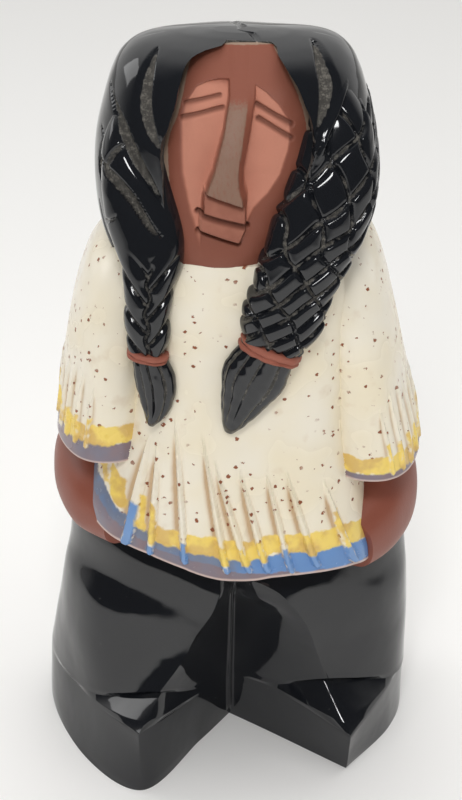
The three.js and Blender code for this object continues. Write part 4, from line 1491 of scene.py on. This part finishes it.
@dataclass(frozen=True)
class Studio:
    """A plain pale floor under soft lamps, in a room that is bright behind and dark in front."""

    floor_size: float = 8.0
    floor_colour: Colour = (0.93, 0.922, 0.905)
    bright: float = 0.9
    dark: float = 0.06

    def build(self) -> None:
        """Adds the floor, the lamps and the light of the room."""
        bpy.ops.object.select_all(action="DESELECT")
        bpy.ops.mesh.primitive_plane_add(size=self.floor_size)
        floor = bpy.context.object
        floor.name = "floor"
        paint = bpy.data.materials.new("floor_paint")
        paint.use_nodes = True
        shader = paint.node_tree.nodes["Principled BSDF"]
        shader.inputs["Base Color"].default_value = (*self.floor_colour, 1)
        shader.inputs["Roughness"].default_value = 0.95
        shader.inputs["Specular IOR Level"].default_value = 0.1
        floor.data.materials.append(paint)
        self._lamp("key", (-0.05, -0.85, 1.15), 0.28, 5, True)
        self._lamp("left", (-0.95, 0.42, 0.8), 0.5, 1.5, True)
        self._lamp("front", (-0.55, -1.2, 0.95), 1.1, 5, False)
        self._lamp("side", (1.1, -0.7, 0.9), 0.9, 2.5, False)
        self._lamp("top", (0.1, 0.1, 1.9), 1.6, 17, False)
        self._room()
        bpy.context.scene.view_settings.view_transform = "Standard"

    @staticmethod
    def _lamp(name: str, place: tuple[float, float, float], size: float, watts: float, mirrored: bool) -> None:
        """One soft square lamp, aimed at the figure. A lamp that isn't mirrored leaves no spot in the glaze."""
        bpy.ops.object.light_add(type="AREA", location=place)
        lamp = bpy.context.object
        lamp.name = name
        lamp.data.size, lamp.data.energy = size, watts
        lamp.visible_glossy = mirrored
        lamp.rotation_euler = (Vector((0, 0, 0.15)) - Vector(place)).to_track_quat("-Z", "Y").to_euler()

    def _room(self) -> None:
        """The light of the room: bright behind, dark in front, and plain white where it is seen itself."""
        world = bpy.data.worlds.new("room")
        world.use_nodes = True
        nodes, links = world.node_tree.nodes, world.node_tree.links
        split = nodes.new("ShaderNodeSeparateXYZ")
        links.new(nodes.new("ShaderNodeTexCoord").outputs["Generated"], split.inputs["Vector"])
        behind = nodes.new("ShaderNodeMapRange")
        behind.interpolation_type = "SMOOTHSTEP"
        for name, value in (("From Min", -0.05), ("From Max", 0.6), ("To Min", self.dark), ("To Max", self.bright)):
            behind.inputs[name].default_value = value
        links.new(split.outputs["Y"], behind.inputs["Value"])
        seen = nodes.new("ShaderNodeMix")
        links.new(nodes.new("ShaderNodeLightPath").outputs["Is Camera Ray"], seen.inputs["Factor"])
        links.new(behind.outputs["Result"], seen.inputs["A"])
        seen.inputs["B"].default_value = 0.93
        background = nodes["Background"]
        background.inputs["Color"].default_value = (1, 0.99, 0.97, 1)
        links.new(seen.outputs["Result"], background.inputs["Strength"])
        bpy.context.scene.world = world


RIGHT = (
    (0, 30, -10, 270, 8, 8),
    (0.18, 33.6, -21.5, 258, 12, 9.5),
    (0.36, 32.5, -30, 243, 15.5, 10),
    (0.52, 28, -36.5, 230, 15.8, 10),
    (0.66, 22.5, -41.5, 218, 14.8, 9.5),
    (0.78, 18.5, -44.5, 208, 14, 9),
    (0.9, 15, -45.8, 197, 14.2, 8.5),
    (1, 11.6, -46, 186.5, 10.5, 7),
)
LEFT = (
    (0, -31, -10, 266, 8, 8),
    (0.2, -35, -22.5, 252, 11.5, 9.5),
    (0.4, -33, -31.5, 235, 13, 10),
    (0.56, -30, -37.5, 222, 12, 9.5),
    (0.7, -30.4, -42, 210, 8.6, 8),
    (0.84, -31.4, -43.6, 199, 7.6, 7.4),
    (0.94, -31.2, -43.8, 191, 7.4, 7),
    (1, -31.6, -43.8, 183.5, 6, 6),
)
RIGHT_BRUSH = (
    (0, 11.6, -46.4, 188, 8.6, 6),
    (0.12, 9.8, -47, 184, 10.2, 6.8),
    (0.4, 5.8, -47.2, 176, 11.6, 7.2),
    (0.68, 2.2, -47, 167, 8.6, 6.6),
    (0.9, -1.4, -46.6, 158, 4.6, 4.8),
    (1, -2.8, -46.2, 153.6, 2, 2.6),
)
LEFT_BRUSH = (
    (0, -31.4, -43.6, 185, 5, 5),
    (0.14, -30.6, -44, 180.5, 6.4, 5.8),
    (0.45, -28.8, -44.2, 172, 7.4, 6),
    (0.75, -28.8, -44, 163, 5.6, 5.4),
    (0.93, -30, -43.6, 157.6, 3.2, 4),
    (1, -30.6, -43.4, 155, 1.6, 2.4),
)


def main() -> None:
    """Builds the figure's pieces in order, dressed, and sets up the view."""
    logging.basicConfig(level=logging.INFO, format="%(message)s")
    black = BlackGlaze().material()
    cream = CreamGlaze().material()
    clay = BareClay("bare_clay").material()
    arm_clay = BareClay("arm_clay", skin=light(140, 80, 64), fresh=light(170, 104, 86), smooth=0.42).material()
    face = Face()
    made = [
        Hair(black).build(face),
        Braid("right", black, PulledForm(RIGHT, 190, 250, 2.3), PulledForm(RIGHT_BRUSH, 150, 80, 2), 8, False).build(),
        Braid("left", black, PulledForm(LEFT, 150, 230, 2.2), PulledForm(LEFT_BRUSH, 120, 70, 2), 8, True).build(),
        Tie("right", arm_clay, (11.4, -46, 186.4), (11.4, 8.2), 4.4, 0.4).build(),
        Tie("left", arm_clay, (-31.4, -43.8, 183.6), (7.4, 7.2), 3.4, 0.18).build(),
        face.build(clay),
        Shirt(cream).build(),
        *Forearms().build(arm_clay),
        Trousers().build(black),
    ]
    for piece in made:
        triangles = sum(len(side.vertices) - 2 for side in piece.data.polygons)
        LOG.info("%s: %d triangles", piece.name, triangles)
    View().build()
    Studio().build()


if __name__ == "__main__":
    main()
